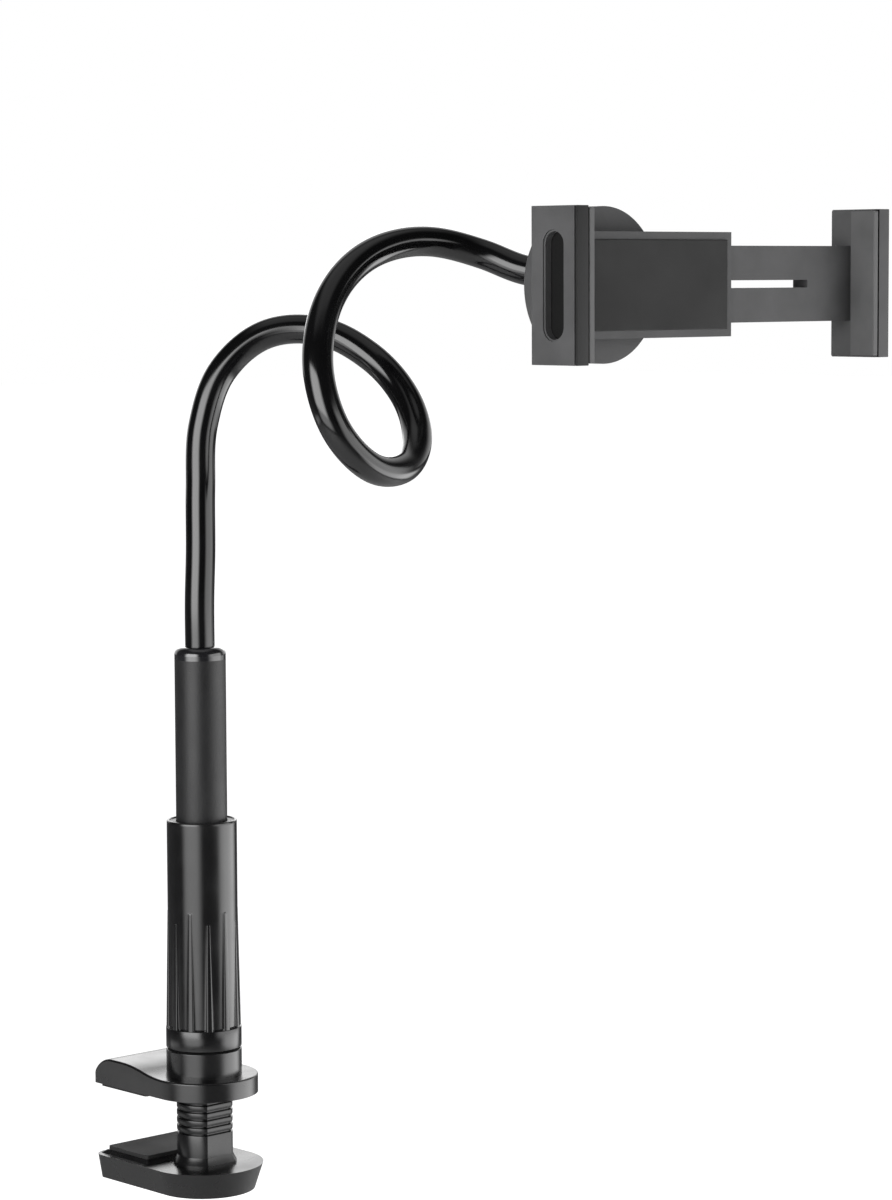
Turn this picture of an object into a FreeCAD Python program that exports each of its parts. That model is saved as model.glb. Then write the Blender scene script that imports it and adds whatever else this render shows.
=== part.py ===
import FreeCAD, Part
import math
import os

# Gooseneck tablet holder that clamps on a table edge, in millimetres, +Z up.
# The pieces are drawn about the axis of the upright post, with Z = 0 on the table's top.
# At the end they are moved so that the origin is the middle of the upper pad's contact face.
# +X runs along the table's edge, +Y runs in over the table.

V = FreeCAD.Vector
X_AXIS = V(1, 0, 0)
Y_AXIS = V(0, 1, 0)
Z_AXIS = V(0, 0, 1)

# Clearances
RUN_GAP = 0.3           # between two pieces that move on each other
FIT_GAP = 0.05          # round a piece that is pressed or dropped into its seat
SOFTEN = 1.0            # ordinary rounding of a moulded edge
OVER = 1.0              # how far a cutting shape reaches past what it cuts
NEAR = 0.0001           # two places closer than this are the same

# Upper jaw
PAD_THICK = 2.0         # rubber pads of both jaws
PAD_START_Y = 18.0      # where both pads begin, measured from the post
PAD_INSET = 3.0         # from a pad's edge to the jaw's edge
JAW_RADIUS = 28.5       # round end of the upper jaw
JAW_TAIL_Y = 59.5       # tail end of the upper jaw
JAW_CORNER = 3.0        # rounding of the tail's corners in plan
JAW_PLATE = 10.0        # thickness of the upper jaw's plate
HUMP_START_Y = 0.0      # where the jaw's back begins to rise towards the tail
HUMP_PEAK_Y = 37.0
HUMP_RISE = 4.4
HUMP_END_RADIUS = 16.0  # rounding over the tail's end
HUMP_END_TURN = 72.0    # how far that rounding turns before it meets the tail's end face
COLLAR_RADIUS = 20.0    # fixed boss under the turning handle
COLLAR_HEIGHT = 13.8
SPIGOT_WALL = 1.5       # thin tube on the boss that the handle turns round
SPIGOT_HEIGHT = 6.0
WASHER_THICK = 0.6
WASHER_RADIUS = 19.2

# Handle that turns the clamp
RETAINER_THICK = 2.5
RETAINER_WALL = 2.0
CLIP_THICK = 1.2
CLIP_DEPTH = 0.6        # depth of the clip's groove in the spigot
CLIP_RADIUS = 18.0
CLIP_MOUTH = 9.0        # width of the clip's open side
WEB_THICK = 2.0         # inner shelf that the nut stands on
HANDLE_RADIUS = 18.5
HANDLE_TOP_Z = 148.0
HANDLE_BORE = 17.05
RING_RADIUS = 20.0      # plain ring at the handle's foot
RING_HEIGHT = 11.0
RIB_COUNT = 12
RIB_LONG = 62.0
RIB_SHORT = 56.0
RIB_FOOT_WIDTH = 3.6
RIB_TIP_WIDTH = 1.6
RIB_TIP_PROUD = 0.25
RIB_FOOT_SHY = 0.1      # how far the ribs' feet lie under the ring's face
NUT_HEIGHT = 16.0
NUT_KEYS = 4
NUT_KEY_WIDTH = 5.0
NUT_KEY_DEPTH = 0.7
BUSH_HEIGHT = 9.0
BUSH_SINK = 0.7         # how far the bush lies under the handle's top rim

# Screwed stem and lower jaw
CLAMP_GAP = 32.0        # between the two pads as photographed
STEM_RADIUS = 14.8
STEM_FLAT = 12.3        # from the axis to each flat
RIDGE_PITCH = 4.0
RIDGE_DEPTH = 1.1
GROOVE_WIDTH = 1.1      # narrow groove between two ridges
STEM_PLAIN = 12.0       # smooth length over the foot
FOOT_HEIGHT = 5.0
FOOT_RIM = 1.2          # straight height under the foot's flare
FOOT_RADIUS = 17.0
FOOT_FLARE = 2.0        # how far the foot stands out over the flats
STEM_TOP_Z = 84.0
TENON_RADIUS = 10.0
TENON_DEPTH = 8.0
LOWER_RADIUS = 31.0
LOWER_DRAFT = 4.5       # how far the lower jaw draws in towards its underside
LOWER_TAIL_DRAFT = 0.5  # the same at its tail
LOWER_TAIL_Y = 57.5
LOWER_THICK = 13.7
LAND_HEIGHT = 2.0
LAND_SLOPE = 3.0        # how far the land widens down to the jaw
LAND_SHY = 1.0          # from the land's foot to the jaw's edge
LAND_START_Y = 14.5
SCREW_RADIUS = 3.0
SCREW_WASHER_RADIUS = 7.0
SCREW_HEAD_RADIUS = 6.0
SCREW_HEAD_HEIGHT = 3.2
SCREW_WASHER_THICK = 1.2
SCREW_LENGTH = 18.0
HEX_KEY_RADIUS = 2.6
HEX_KEY_DEPTH = 1.9
LOWER_PAD_SHY = 0.5     # from the lower pad's edge to the land's edge

# Post above the handle
SLEEVE_RADIUS = 13.5
SLEEVE_WALL = 1.7
SLEEVE_TOP_Z = 232.9
TUBE_FOOT_RADIUS = 9.0
TUBE_FOOT_DEPTH = 20.0
TUBE_BORE = 8.05
CAP_HEIGHT = 6.8
CAP_SKIRT = 2.2         # straight side of the cap under its dome
CAP_CROWN_RADIUS = 9.2  # where the dome turns into the flat round the neck
CAP_DOME = 0.72         # share of its rise that the dome has made half way in
CAP_PLUG = 6.0          # length of the plug inside the sleeve
FERRULE_LENGTH = 26.0

# Gooseneck
NECK_RADIUS = 7.75
CORE_RADIUS = 4.5
CORE_GAP = 0.1
ROOT_DEPTH = 12.8       # how far the neck is set into the post
# The neck's line, from the middle of the cap's top, as bent in the photograph.
NECK_ROUTE = [
    (0, 0, 22), (1.5, 0.5, 50), (3.5, 2.5, 83), (7, 4, 116), (17, -0.5, 144.5), (34.5, -14.5, 163),
    (53.5, -35, 165), (67.5, -59.5, 152), (71, -83, 131.5), (61, -103, 110), (38.5, -117, 96.5),
    (11.5, -123, 98), (-9, -121, 116), (-14.5, -113.5, 143), (-4.5, -104.5, 171), (17, -97, 193.5),
    (46, -94, 207.5), (76, -98, 211), (100.5, -111, 204.5), (111.5, -127, 197),
]
KNUCKLES = [0, 5, 10, 14]           # places in the route where the neck bends
STUD_LEAN = V(-0.13, 0.96, 0.22)    # from the ball back towards the neck
STUD_LENGTH = 21.0
NECK_END = V(119.5, -144.0, 193.0)

# Ball joint behind the holder
BALL_RADIUS = 9.0
BALL_SHELL = 1.2
STUD_RADIUS = 4.0
STUD_FLANGE = 3.5
STUD_FLANGE_RADIUS = 8.3
MOUTH_ANGLE = 64.0      # half angle of the mouth of the shells
PUCK_RADIUS = 40.0
PUCK_THICK = 18.0
PUCK_EDGE = 1.5
LOCK_RADIUS = 19.0
LOCK_PROUD = 1.5
PUCK_OVER_BALL = 5.0    # the puck's back over the ball's centre

# Holder
TRAY_LENGTH = 122.0
TRAY_HEIGHT = 54.0
TRAY_RIM = 7.0          # from the tray's top and bottom to the arm's edges
TRAY_DEPTH = 14.2
TRAY_WALL = 3.0
COVER_THICK = 1.5
BACK_PAD_THICK = 1.2
BACK_PAD_INSET = 4.0
TRAY_BALL_X = 43.5      # from the tray's closed end to the ball
GRIP_WIDTH = 214.9      # between the grooves, the width that is held
GRIP_THICK = 6.5        # width of the groove for the held edge
LAND_OVER = 1.5         # how far the lands reach over the held edge
JAW_HEIGHT = 79.0
JAW_DEPTH = 32.8
JAW_THICK = 8.9
JAW_FRONT_LAND = 9.4
JAW_FACE = 2.0          # front plate of each jaw
JAW_PAD = 2.0
JAW_PAD_INSET = 1.0
JAW_EDGE = 1.2          # rounding of the jaws' outer edges
POCKET_WIDTH = 12.8
POCKET_HEIGHT = 53.7
POCKET_DEPTH = 6.6
POCKET_RIM = 0.9
POCKET_BEHIND = 0.4     # behind the middle of the jaw's depth
PLUG_THICK = 1.8        # black plug in each pocket, over the screws
JAW_SCREW_SPACING = 32.0
JAW_SCREW_RADIUS = 1.1
JAW_SCREW_HEAD = 2.0
JAW_SCREW_HEAD_HEIGHT = 1.2
JAW_SCREW_REACH = 4.0   # how far a screw goes into the piece behind the jaw
JAW_SCREW_BEHIND = 4.2  # behind the middle of the pocket

# Sliding arm, its springs and its stop
ARM_ENGAGE = 40.0       # length of the arm inside the tray as photographed
ARM_THICK = 10.2
ARM_GAP = 0.3
SPRING_OFFSET = 11.0
SPRING_RADIUS = 2.4
SPRING_SLOT = 6.6
SPRING_SLOT_LENGTH = 42.0
ANCHOR_RADIUS = 1.5
ANCHOR_FROM_END = 3.6
STOP_RADIUS = 1.5
STOP_FROM_END = 10.0
STOP_SLOT = 4.0
ARM_OUT = 10.0          # travel outwards from the photographed place
ARM_IN = 70.0           # travel inwards
COVER_SCREW_RADIUS = 1.3
COVER_SCREW_HEAD = 2.4
COVER_SCREW_HEAD_HEIGHT = 1.5
COVER_SCREW_INSET = 4.2

# Heights and places that follow from the sizes above
plate_top = PAD_THICK + JAW_PLATE
collar_top = plate_top + COLLAR_HEIGHT
stem_bore = STEM_RADIUS + RUN_GAP
flat_bore = STEM_FLAT + RUN_GAP
spigot_radius = stem_bore + SPIGOT_WALL
spigot_top = collar_top + SPIGOT_HEIGHT
handle_foot = collar_top + WASHER_THICK + RUN_GAP
retainer_top = handle_foot + RETAINER_THICK
clip_foot = retainer_top + RUN_GAP
web_foot = spigot_top + RUN_GAP
web_top = web_foot + WEB_THICK
ring_top = handle_foot + RING_HEIGHT
lower_pad_top = -CLAMP_GAP
lower_land_top = lower_pad_top - PAD_THICK
lower_top = lower_land_top - LAND_HEIGHT
lower_foot = lower_top - LOWER_THICK
stem_foot = lower_top
tube_outer = SLEEVE_RADIUS - SLEEVE_WALL - FIT_GAP
tube_top = SLEEVE_TOP_Z - CAP_PLUG
neck_exit = SLEEVE_TOP_Z + CAP_HEIGHT
neck_root = neck_exit - ROOT_DEPTH
shell_a_in = BALL_RADIUS + RUN_GAP
shell_a_out = shell_a_in + BALL_SHELL
shell_b_in = shell_a_out + RUN_GAP
shell_b_out = shell_b_in + BALL_SHELL
socket_radius = shell_b_out + RUN_GAP

cap_top = V(0, 0, neck_exit)
neck_end = cap_top + NECK_END
stud_line = V(STUD_LEAN).normalize()
ball = neck_end - stud_line * STUD_LENGTH

puck_back = ball.y + PUCK_OVER_BALL
tray_back = puck_back - PUCK_THICK
tray_front = tray_back - TRAY_DEPTH
cover_front = tray_front - COVER_THICK
held_back = cover_front - BACK_PAD_THICK - RUN_GAP
held_front = held_back - GRIP_THICK
tray_left = ball.x - TRAY_BALL_X
tray_right = tray_left + TRAY_LENGTH
grip_left = tray_left + JAW_PAD
grip_right = grip_left + GRIP_WIDTH
jaw_front = held_front - JAW_FRONT_LAND
jaw_back = jaw_front + JAW_DEPTH
jaw_low = ball.z - JAW_HEIGHT / 2
cavity_back = tray_back - TRAY_WALL
arm_mid_y = (cavity_back + tray_front) / 2
pocket_y = (jaw_front + jaw_back) / 2 + POCKET_BEHIND
jaw_screw_y = pocket_y + JAW_SCREW_BEHIND
arm_half = TRAY_HEIGHT / 2 - TRAY_RIM
arm_left = tray_right - ARM_ENGAGE
tray_anchor_x = tray_left + TRAY_WALL + ANCHOR_FROM_END
arm_anchor_x = arm_left + SPRING_SLOT_LENGTH - ANCHOR_FROM_END
stop_x = tray_right - STOP_FROM_END

pad_centre_y = (PAD_START_Y + JAW_TAIL_Y - PAD_INSET) / 2
origin_shift = V(0, -pad_centre_y, 0)

PIECES = {}


def keep(name, *solids):
    """Store one node: a single solid, or a group of separate ones."""
    shape = solids[0] if len(solids) == 1 else Part.makeCompound(list(solids))
    PIECES[name] = shape


def cylinder(radius, z_low, z_high):
    return Part.makeCylinder(radius, z_high - z_low, V(0, 0, z_low))


def tube(radius, bore, z_low, z_high):
    return cylinder(radius, z_low, z_high).cut(cylinder(bore, z_low - OVER, z_high + OVER))


def box(x0, x1, y0, y1, z0, z1):
    return Part.makeBox(x1 - x0, y1 - y0, z1 - z0, V(x0, y0, z0))


def wire_of(points):
    """Closed wire through points. A point written as (through, end) makes an arc."""
    edges = []
    here = points[0]
    for item in points[1:] + [points[0]]:
        if isinstance(item, tuple):
            through, there = item
            edges.append(Part.Arc(here, through, there).toShape())
        else:
            there = item
            if there.distanceToPoint(here) < NEAR:
                continue
            edges.append(Part.LineSegment(here, there).toShape())
        here = there
    return Part.Wire(edges)


def spun(profile):
    """Solid of revolution about Z from (radius, z) points; see wire_of for arcs."""
    points = []
    for item in profile:
        if isinstance(item[0], tuple):
            points.append((V(item[0][0], 0, item[0][1]), V(item[1][0], 0, item[1][1])))
        else:
            points.append(V(item[0], 0, item[1]))
    return Part.Face(wire_of(points)).revolve(V(0, 0, 0), Z_AXIS, 360)


def soften(shape, radius, wanted):
    """Round the edges whose middle passes the test."""
    edges = [e for e in shape.Edges if wanted(e)]
    return shape.makeFillet(radius, edges)


def corner(centre, radius, start_deg, end_deg):
    """Arc of a rounded corner in plan, as (through, end)."""
    mid = math.radians((start_deg + end_deg) / 2)
    end = math.radians(end_deg)
    return (
        centre + V(radius * math.cos(mid), radius * math.sin(mid), 0),
        centre + V(radius * math.cos(end), radius * math.sin(end), 0),
    )


def jaw_plan(radius, tail_y, tail_corner, z):
    """Plan of a clamp jaw: half circle about the post, straight sides, rounded tail."""
    side = tail_y - tail_corner
    right = V(radius - tail_corner, side, z)
    left = V(tail_corner - radius, side, z)
    return wire_of([
        V(radius, 0, z),
        V(radius, side, z),
        corner(right, tail_corner, 0, 90),
        V(tail_corner - radius, tail_y, z),
        corner(left, tail_corner, 90, 180),
        V(-radius, 0, z),
        (V(0, -radius, z), V(radius, 0, z)),
    ])


def pad_plan(half, y0, y1, rounding, z):
    """Rounded rectangle in plan."""
    low, high = y0 + rounding, y1 - rounding
    inner = half - rounding
    return wire_of([
        V(half, low, z),
        V(half, high, z),
        corner(V(inner, high, z), rounding, 0, 90),
        V(-inner, y1, z),
        corner(V(-inner, high, z), rounding, 90, 180),
        V(-half, low, z),
        corner(V(-inner, low, z), rounding, 180, 270),
        V(inner, y0, z),
        corner(V(inner, low, z), rounding, 270, 360),
    ])


def slab(wire, height):
    return Part.Face(wire).extrude(V(0, 0, height))


def double_d(radius, flat, z_low, z_high):
    """Round bar with two flats that face +Y and -Y."""
    bar = cylinder(radius, z_low, z_high)
    return bar.common(box(-radius - OVER, radius + OVER, -flat, flat, z_low, z_high))


def double_d_outline(radius, flat, z):
    """Outline of the same bar at one height."""
    half = math.sqrt(radius ** 2 - flat ** 2)
    return wire_of([
        V(half, -flat, z),
        (V(radius, 0, z), V(half, flat, z)),
        V(-half, flat, z),
        (V(-radius, 0, z), V(-half, -flat, z)),
    ])


def upper_jaw():
    """Plate with a humped tail, the fixed boss and the spigot that the handle turns on."""
    peak = plate_top + HUMP_RISE
    run = HUMP_PEAK_Y - HUMP_START_Y
    swing = (run ** 2 + HUMP_RISE ** 2) / (4 * HUMP_RISE)
    half_turn = math.asin(run / 2 / swing) / 2
    rise_low = V(0, HUMP_START_Y + swing * math.sin(half_turn),
                 plate_top + swing * (1 - math.cos(half_turn)))
    rise_mid = V(0, HUMP_START_Y + run / 2, plate_top + HUMP_RISE / 2)
    rise_high = V(0, HUMP_PEAK_Y - swing * math.sin(half_turn),
                  peak - swing * (1 - math.cos(half_turn)))
    turn = math.radians(HUMP_END_TURN)
    fall_start = JAW_TAIL_Y - HUMP_END_RADIUS * math.sin(turn)
    fall_centre = V(0, fall_start, peak - HUMP_END_RADIUS)
    fall_mid = fall_centre + V(0, math.sin(turn / 2), math.cos(turn / 2)) * HUMP_END_RADIUS
    fall_end = fall_centre + V(0, math.sin(turn), math.cos(turn)) * HUMP_END_RADIUS
    side = wire_of([
        V(0, -JAW_RADIUS - OVER, PAD_THICK),
        V(0, JAW_TAIL_Y, PAD_THICK),
        fall_end,
        (fall_mid, V(0, fall_start, peak)),
        V(0, HUMP_PEAK_Y, peak),
        (rise_high, rise_mid),
        (rise_low, V(0, HUMP_START_Y, plate_top)),
        V(0, -JAW_RADIUS - OVER, plate_top),
    ])
    side_solid = Part.Face(side).extrude(V(2 * (JAW_RADIUS + OVER), 0, 0))
    side_solid.translate(V(-JAW_RADIUS - OVER, 0, 0))
    plan = slab(jaw_plan(JAW_RADIUS, JAW_TAIL_Y, JAW_CORNER, PAD_THICK), JAW_PLATE + HUMP_RISE + OVER)
    plate = plan.common(side_solid)

    def on_rim(edge):
        bounds = edge.BoundBox
        smooth = bounds.YLength < NEAR and bounds.XLength > NEAR and bounds.YMax < JAW_TAIL_Y - NEAR
        return bounds.ZMin > PAD_THICK + NEAR and not smooth

    plate = soften(plate, SOFTEN, on_rim)
    boss = cylinder(COLLAR_RADIUS, plate_top - OVER, collar_top)
    boss = soften(boss, SOFTEN / 2, lambda e: abs(e.BoundBox.ZMin - collar_top) < NEAR)
    spigot = cylinder(spigot_radius, collar_top - OVER, spigot_top)
    clip_room = clip_foot + CLIP_THICK + 2 * FIT_GAP
    groove = tube(spigot_radius + OVER, spigot_radius - CLIP_DEPTH, clip_foot, clip_room)
    body = plate.fuse(boss).fuse(spigot).cut(groove)
    body = body.cut(double_d(stem_bore, flat_bore, PAD_THICK - OVER, spigot_top + OVER))
    keep("upper_jaw", body)
    pad = slab(pad_plan(JAW_RADIUS - PAD_INSET, PAD_START_Y, JAW_TAIL_Y - PAD_INSET, JAW_CORNER / 2, 0),
               PAD_THICK)
    keep("upper_jaw_pad", pad)
    keep("thrust_washer", tube(WASHER_RADIUS, spigot_radius + FIT_GAP, collar_top,
                               collar_top + WASHER_THICK))
    clip = tube(CLIP_RADIUS, spigot_radius - CLIP_DEPTH + FIT_GAP, clip_foot, clip_foot + CLIP_THICK)
    mouth = box(0, CLIP_RADIUS + OVER, -CLIP_MOUTH / 2, CLIP_MOUTH / 2, clip_foot - OVER, web_foot)
    keep("retaining_clip", clip.cut(mouth))


def handle_rib(length, angle):
    """One tapered rib, widest and proudest where it meets the foot ring."""
    low = ring_top - OVER
    high = ring_top + length
    foot, tip = RIB_FOOT_WIDTH / 2, RIB_TIP_WIDTH / 2
    reach = RING_RADIUS + OVER
    outline = wire_of([
        V(0, -foot, low),
        V(0, foot, low),
        V(0, tip, high),
        (V(0, 0, high + tip), V(0, -tip, high)),
    ])
    rib = Part.Face(outline).extrude(V(reach, 0, 0))
    skin = spun([
        (HANDLE_RADIUS - OVER, low),
        (RING_RADIUS - RIB_FOOT_SHY, low),
        (RING_RADIUS - RIB_FOOT_SHY, ring_top),
        (HANDLE_RADIUS + RIB_TIP_PROUD, high + tip),
        (HANDLE_RADIUS - OVER, high + tip),
    ])
    rib = rib.common(skin)
    rib.rotate(V(0, 0, 0), Z_AXIS, angle)
    return rib


def nut_keys(extra, z_low, z_high):
    """The nut's keys, or the slots for them when extra is the clearance."""
    half = NUT_KEY_WIDTH / 2 + extra
    out = HANDLE_BORE + NUT_KEY_DEPTH + extra
    key = box(STEM_RADIUS + OVER, out, -half, half, z_low, z_high)
    keys = []
    for i in range(NUT_KEYS):
        turned = key.copy()
        turned.rotate(V(0, 0, 0), Z_AXIS, 360 * (i + 0.5) / NUT_KEYS)
        keys.append(turned)
    return keys


def handle():
    """Turning handle with its nut, foot retainer and top bush."""
    rim = SOFTEN
    turn = rim * (1 - math.sqrt(0.5))
    outer = spun([
        (0, handle_foot),
        (RING_RADIUS - rim / 2, handle_foot),
        (RING_RADIUS, handle_foot + rim / 2),
        (RING_RADIUS, ring_top - rim / 2),
        (RING_RADIUS - rim / 2, ring_top),
        (HANDLE_RADIUS, ring_top),
        (HANDLE_RADIUS, HANDLE_TOP_Z - rim),
        ((HANDLE_RADIUS - turn, HANDLE_TOP_Z - turn), (HANDLE_RADIUS - rim, HANDLE_TOP_Z)),
        (0, HANDLE_TOP_Z),
    ])
    for i in range(RIB_COUNT):
        length = RIB_LONG if i % 2 == 0 else RIB_SHORT
        outer = outer.fuse(handle_rib(length, 360 * i / RIB_COUNT))
    low_bore = spigot_radius + RUN_GAP + RETAINER_WALL
    bore = cylinder(low_bore, handle_foot - OVER, web_foot)
    bore = bore.fuse(cylinder(stem_bore + RUN_GAP, web_foot - OVER, web_top + OVER))
    bore = bore.fuse(cylinder(HANDLE_BORE, web_top, HANDLE_TOP_Z + OVER))
    shell = outer.cut(bore)
    for slot in nut_keys(FIT_GAP, web_top, web_top + NUT_HEIGHT + RUN_GAP):
        shell = shell.cut(slot)
    keep("handle_grip", shell)
    nut = tube(HANDLE_BORE - FIT_GAP, stem_bore, web_top, web_top + NUT_HEIGHT)
    for key in nut_keys(0, web_top, web_top + NUT_HEIGHT):
        nut = nut.fuse(key.cut(cylinder(stem_bore, web_top - OVER, web_top + NUT_HEIGHT + OVER)))
    keep("clamp_nut", nut)
    keep("handle_retainer", tube(low_bore - FIT_GAP, spigot_radius + RUN_GAP, handle_foot, retainer_top))
    bush_top = HANDLE_TOP_Z - BUSH_SINK
    bush = tube(HANDLE_BORE - FIT_GAP, SLEEVE_RADIUS + RUN_GAP, bush_top - BUSH_HEIGHT, bush_top)
    keep("handle_bush", bush)


def ridged_bar(z_low, z_high):
    """Bar with two flats and broad ridges, parted by grooves that run all round."""
    bar = double_d(STEM_RADIUS - RIDGE_DEPTH, STEM_FLAT - RIDGE_DEPTH, z_low, z_high)
    bands = []
    for i in range(int((z_high - z_low) / RIDGE_PITCH)):
        low = z_low + i * RIDGE_PITCH + GROOVE_WIDTH
        bands.append(double_d(STEM_RADIUS, STEM_FLAT, low, low + RIDGE_PITCH - GROOVE_WIDTH))
    return bar.multiFuse(bands)


def stem():
    """Screwed stem: flared foot, smooth length, ridges, two flats and a socket on top."""
    ridge_foot = stem_foot + FOOT_HEIGHT + STEM_PLAIN
    flare_foot = stem_foot + FOOT_RIM
    flare_top = stem_foot + FOOT_HEIGHT
    foot_flat = STEM_FLAT + FOOT_FLARE
    flare = Part.makeLoft([double_d_outline(FOOT_RADIUS, foot_flat, flare_foot),
                           double_d_outline(STEM_RADIUS, STEM_FLAT, flare_top)], True, True)
    bar = double_d(FOOT_RADIUS, foot_flat, stem_foot, flare_foot)
    bar = bar.multiFuse([flare, double_d(STEM_RADIUS, STEM_FLAT, flare_top, ridge_foot),
                         ridged_bar(ridge_foot, STEM_TOP_Z)])
    bar = bar.fuse(cylinder(TENON_RADIUS, stem_foot - TENON_DEPTH, stem_foot + OVER))
    bar = bar.cut(cylinder(TUBE_FOOT_RADIUS + FIT_GAP, STEM_TOP_Z - TUBE_FOOT_DEPTH, STEM_TOP_Z + OVER))
    screw_top = lower_foot + SCREW_HEAD_HEIGHT + SCREW_WASHER_THICK + SCREW_LENGTH
    bar = bar.cut(cylinder(SCREW_RADIUS + FIT_GAP, stem_foot - TENON_DEPTH - OVER, screw_top + OVER))
    keep("clamp_stem", bar)


def lower_jaw():
    """Lower jaw with drafted sides, a raised land under its pad, and the screw that holds it."""
    draft = LOWER_DRAFT
    top = jaw_plan(LOWER_RADIUS, LOWER_TAIL_Y, JAW_CORNER + draft, lower_top)
    foot = jaw_plan(LOWER_RADIUS - draft, LOWER_TAIL_Y - LOWER_TAIL_DRAFT, JAW_CORNER, lower_foot)
    body = Part.makeLoft([foot, top], True, True)
    half = JAW_RADIUS - PAD_INSET
    tail = JAW_TAIL_Y - PAD_INSET - draft
    wide = half + LAND_SLOPE - LAND_SHY
    land_low = pad_plan(wide, LAND_START_Y, LOWER_TAIL_Y - LAND_SHY, JAW_CORNER, lower_top)
    land_high = pad_plan(half, LAND_START_Y + LAND_SLOPE, tail, JAW_CORNER - LAND_SLOPE / 2, lower_land_top)
    body = body.fuse(Part.makeLoft([land_low, land_high], True, True))
    body = body.cut(cylinder(TENON_RADIUS + FIT_GAP, stem_foot - TENON_DEPTH, lower_top + OVER))
    body = body.cut(cylinder(SCREW_RADIUS + FIT_GAP, lower_foot - OVER, stem_foot))
    seat = SCREW_HEAD_HEIGHT + SCREW_WASHER_THICK
    body = body.cut(cylinder(SCREW_WASHER_RADIUS + RUN_GAP, lower_foot - OVER, lower_foot + seat))
    keep("lower_jaw", body)
    pad_half, pad_tail = half - LOWER_PAD_SHY, tail - LOWER_PAD_SHY
    pad = slab(pad_plan(pad_half, PAD_START_Y, pad_tail, JAW_CORNER / 2, lower_land_top), PAD_THICK)
    keep("lower_jaw_pad", pad)
    washer_low = lower_foot + SCREW_HEAD_HEIGHT
    keep("stem_washer", tube(SCREW_WASHER_RADIUS, SCREW_RADIUS + FIT_GAP, washer_low,
                             washer_low + SCREW_WASHER_THICK))
    head = cylinder(SCREW_HEAD_RADIUS, lower_foot, washer_low)
    shank = cylinder(SCREW_RADIUS, washer_low - OVER, washer_low + SCREW_WASHER_THICK + SCREW_LENGTH)
    key = Part.Face(Part.makePolygon([
        V(HEX_KEY_RADIUS * math.cos(math.radians(60 * i)),
          HEX_KEY_RADIUS * math.sin(math.radians(60 * i)), lower_foot - OVER) for i in range(7)
    ])).extrude(V(0, 0, HEX_KEY_DEPTH + OVER))
    keep("stem_screw", head.fuse(shank).cut(key))


def post():
    """Core tube, soft sleeve, cap and the ferrule that grips the neck."""
    core = cylinder(TUBE_FOOT_RADIUS, STEM_TOP_Z - TUBE_FOOT_DEPTH, STEM_TOP_Z + OVER)
    core = core.fuse(cylinder(tube_outer, STEM_TOP_Z, tube_top))
    core = core.cut(cylinder(TUBE_BORE, STEM_TOP_Z + TUBE_FOOT_DEPTH, tube_top + OVER))
    keep("core_tube", core)
    keep("grip_sleeve", tube(SLEEVE_RADIUS, SLEEVE_RADIUS - SLEEVE_WALL, STEM_TOP_Z, SLEEVE_TOP_Z))
    rise = CAP_HEIGHT - CAP_SKIRT
    reach = SLEEVE_RADIUS - CAP_CROWN_RADIUS
    skirt_top = SLEEVE_TOP_Z + CAP_SKIRT
    through = (CAP_CROWN_RADIUS + reach * math.sqrt(0.5), skirt_top + rise * CAP_DOME)
    hole = NECK_RADIUS + RUN_GAP
    keep("sleeve_cap", spun([
        (hole, tube_top),
        (tube_outer, tube_top),
        (tube_outer, SLEEVE_TOP_Z),
        (SLEEVE_RADIUS, SLEEVE_TOP_Z),
        (SLEEVE_RADIUS, skirt_top),
        (through, (CAP_CROWN_RADIUS, neck_exit)),
        (hole, neck_exit),
    ]))
    keep("neck_ferrule", tube(TUBE_BORE - FIT_GAP, CORE_RADIUS + FIT_GAP,
                              neck_root - FERRULE_LENGTH, neck_root))


def bend(here, heading, there):
    """One arc, or a straight line, that leaves here along heading and ends there."""
    chord = there - here
    span = chord.Length
    along = V(chord).normalize()
    turn = math.acos(max(-1.0, min(1.0, along.dot(heading))))
    if turn < NEAR:
        return Part.LineSegment(here, there).toShape()
    lean = (along + heading).normalize()
    return Part.Arc(here, here + lean * (span / 2 / math.cos(turn / 2)), there).toShape()


def biarc(here, heading, there, arriving):
    """Two tangent arcs from here to there that keep both headings."""
    v = there - here
    t = heading + arriving
    spread = 2 * (1 - heading.dot(arriving))
    if spread < 1e-9:
        reach = v.dot(v) / (4 * v.dot(arriving))
    else:
        reach = (-v.dot(t) + math.sqrt(v.dot(t) ** 2 + spread * v.dot(v))) / spread
    joint = (here + there + (heading - arriving) * reach) * 0.5
    last = bend(there, arriving * -1, joint)
    middle = last.valueAt((last.FirstParameter + last.LastParameter) / 2)
    if last.Curve.TypeId == "Part::GeomLine":
        second = Part.LineSegment(joint, there).toShape()
    else:
        second = Part.Arc(joint, middle, there).toShape()
    return [bend(here, heading, joint), second]


def neck_headings(points, first, last):
    """Direction of the neck at each point, from its two neighbours."""
    headings = [first]
    for before, here, after in zip(points, points[1:], points[2:]):
        one, two = here - before, after - here
        weight = V(one).normalize() * two.Length + V(two).normalize() * one.Length
        headings.append(weight.normalize())
    headings.append(last)
    return headings


def pipe(edges, heading, radius):
    """Round bar along a path of tangent arcs."""
    path = Part.Wire(edges)
    start = edges[0].Vertexes[0].Point
    ring = Part.Wire([Part.makeCircle(radius, start, heading)])
    sweep = Part.BRepOffsetAPI.MakePipeShell(path)
    sweep.add(ring)
    sweep.build()
    sweep.makeSolid()
    return sweep.shape()


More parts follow.
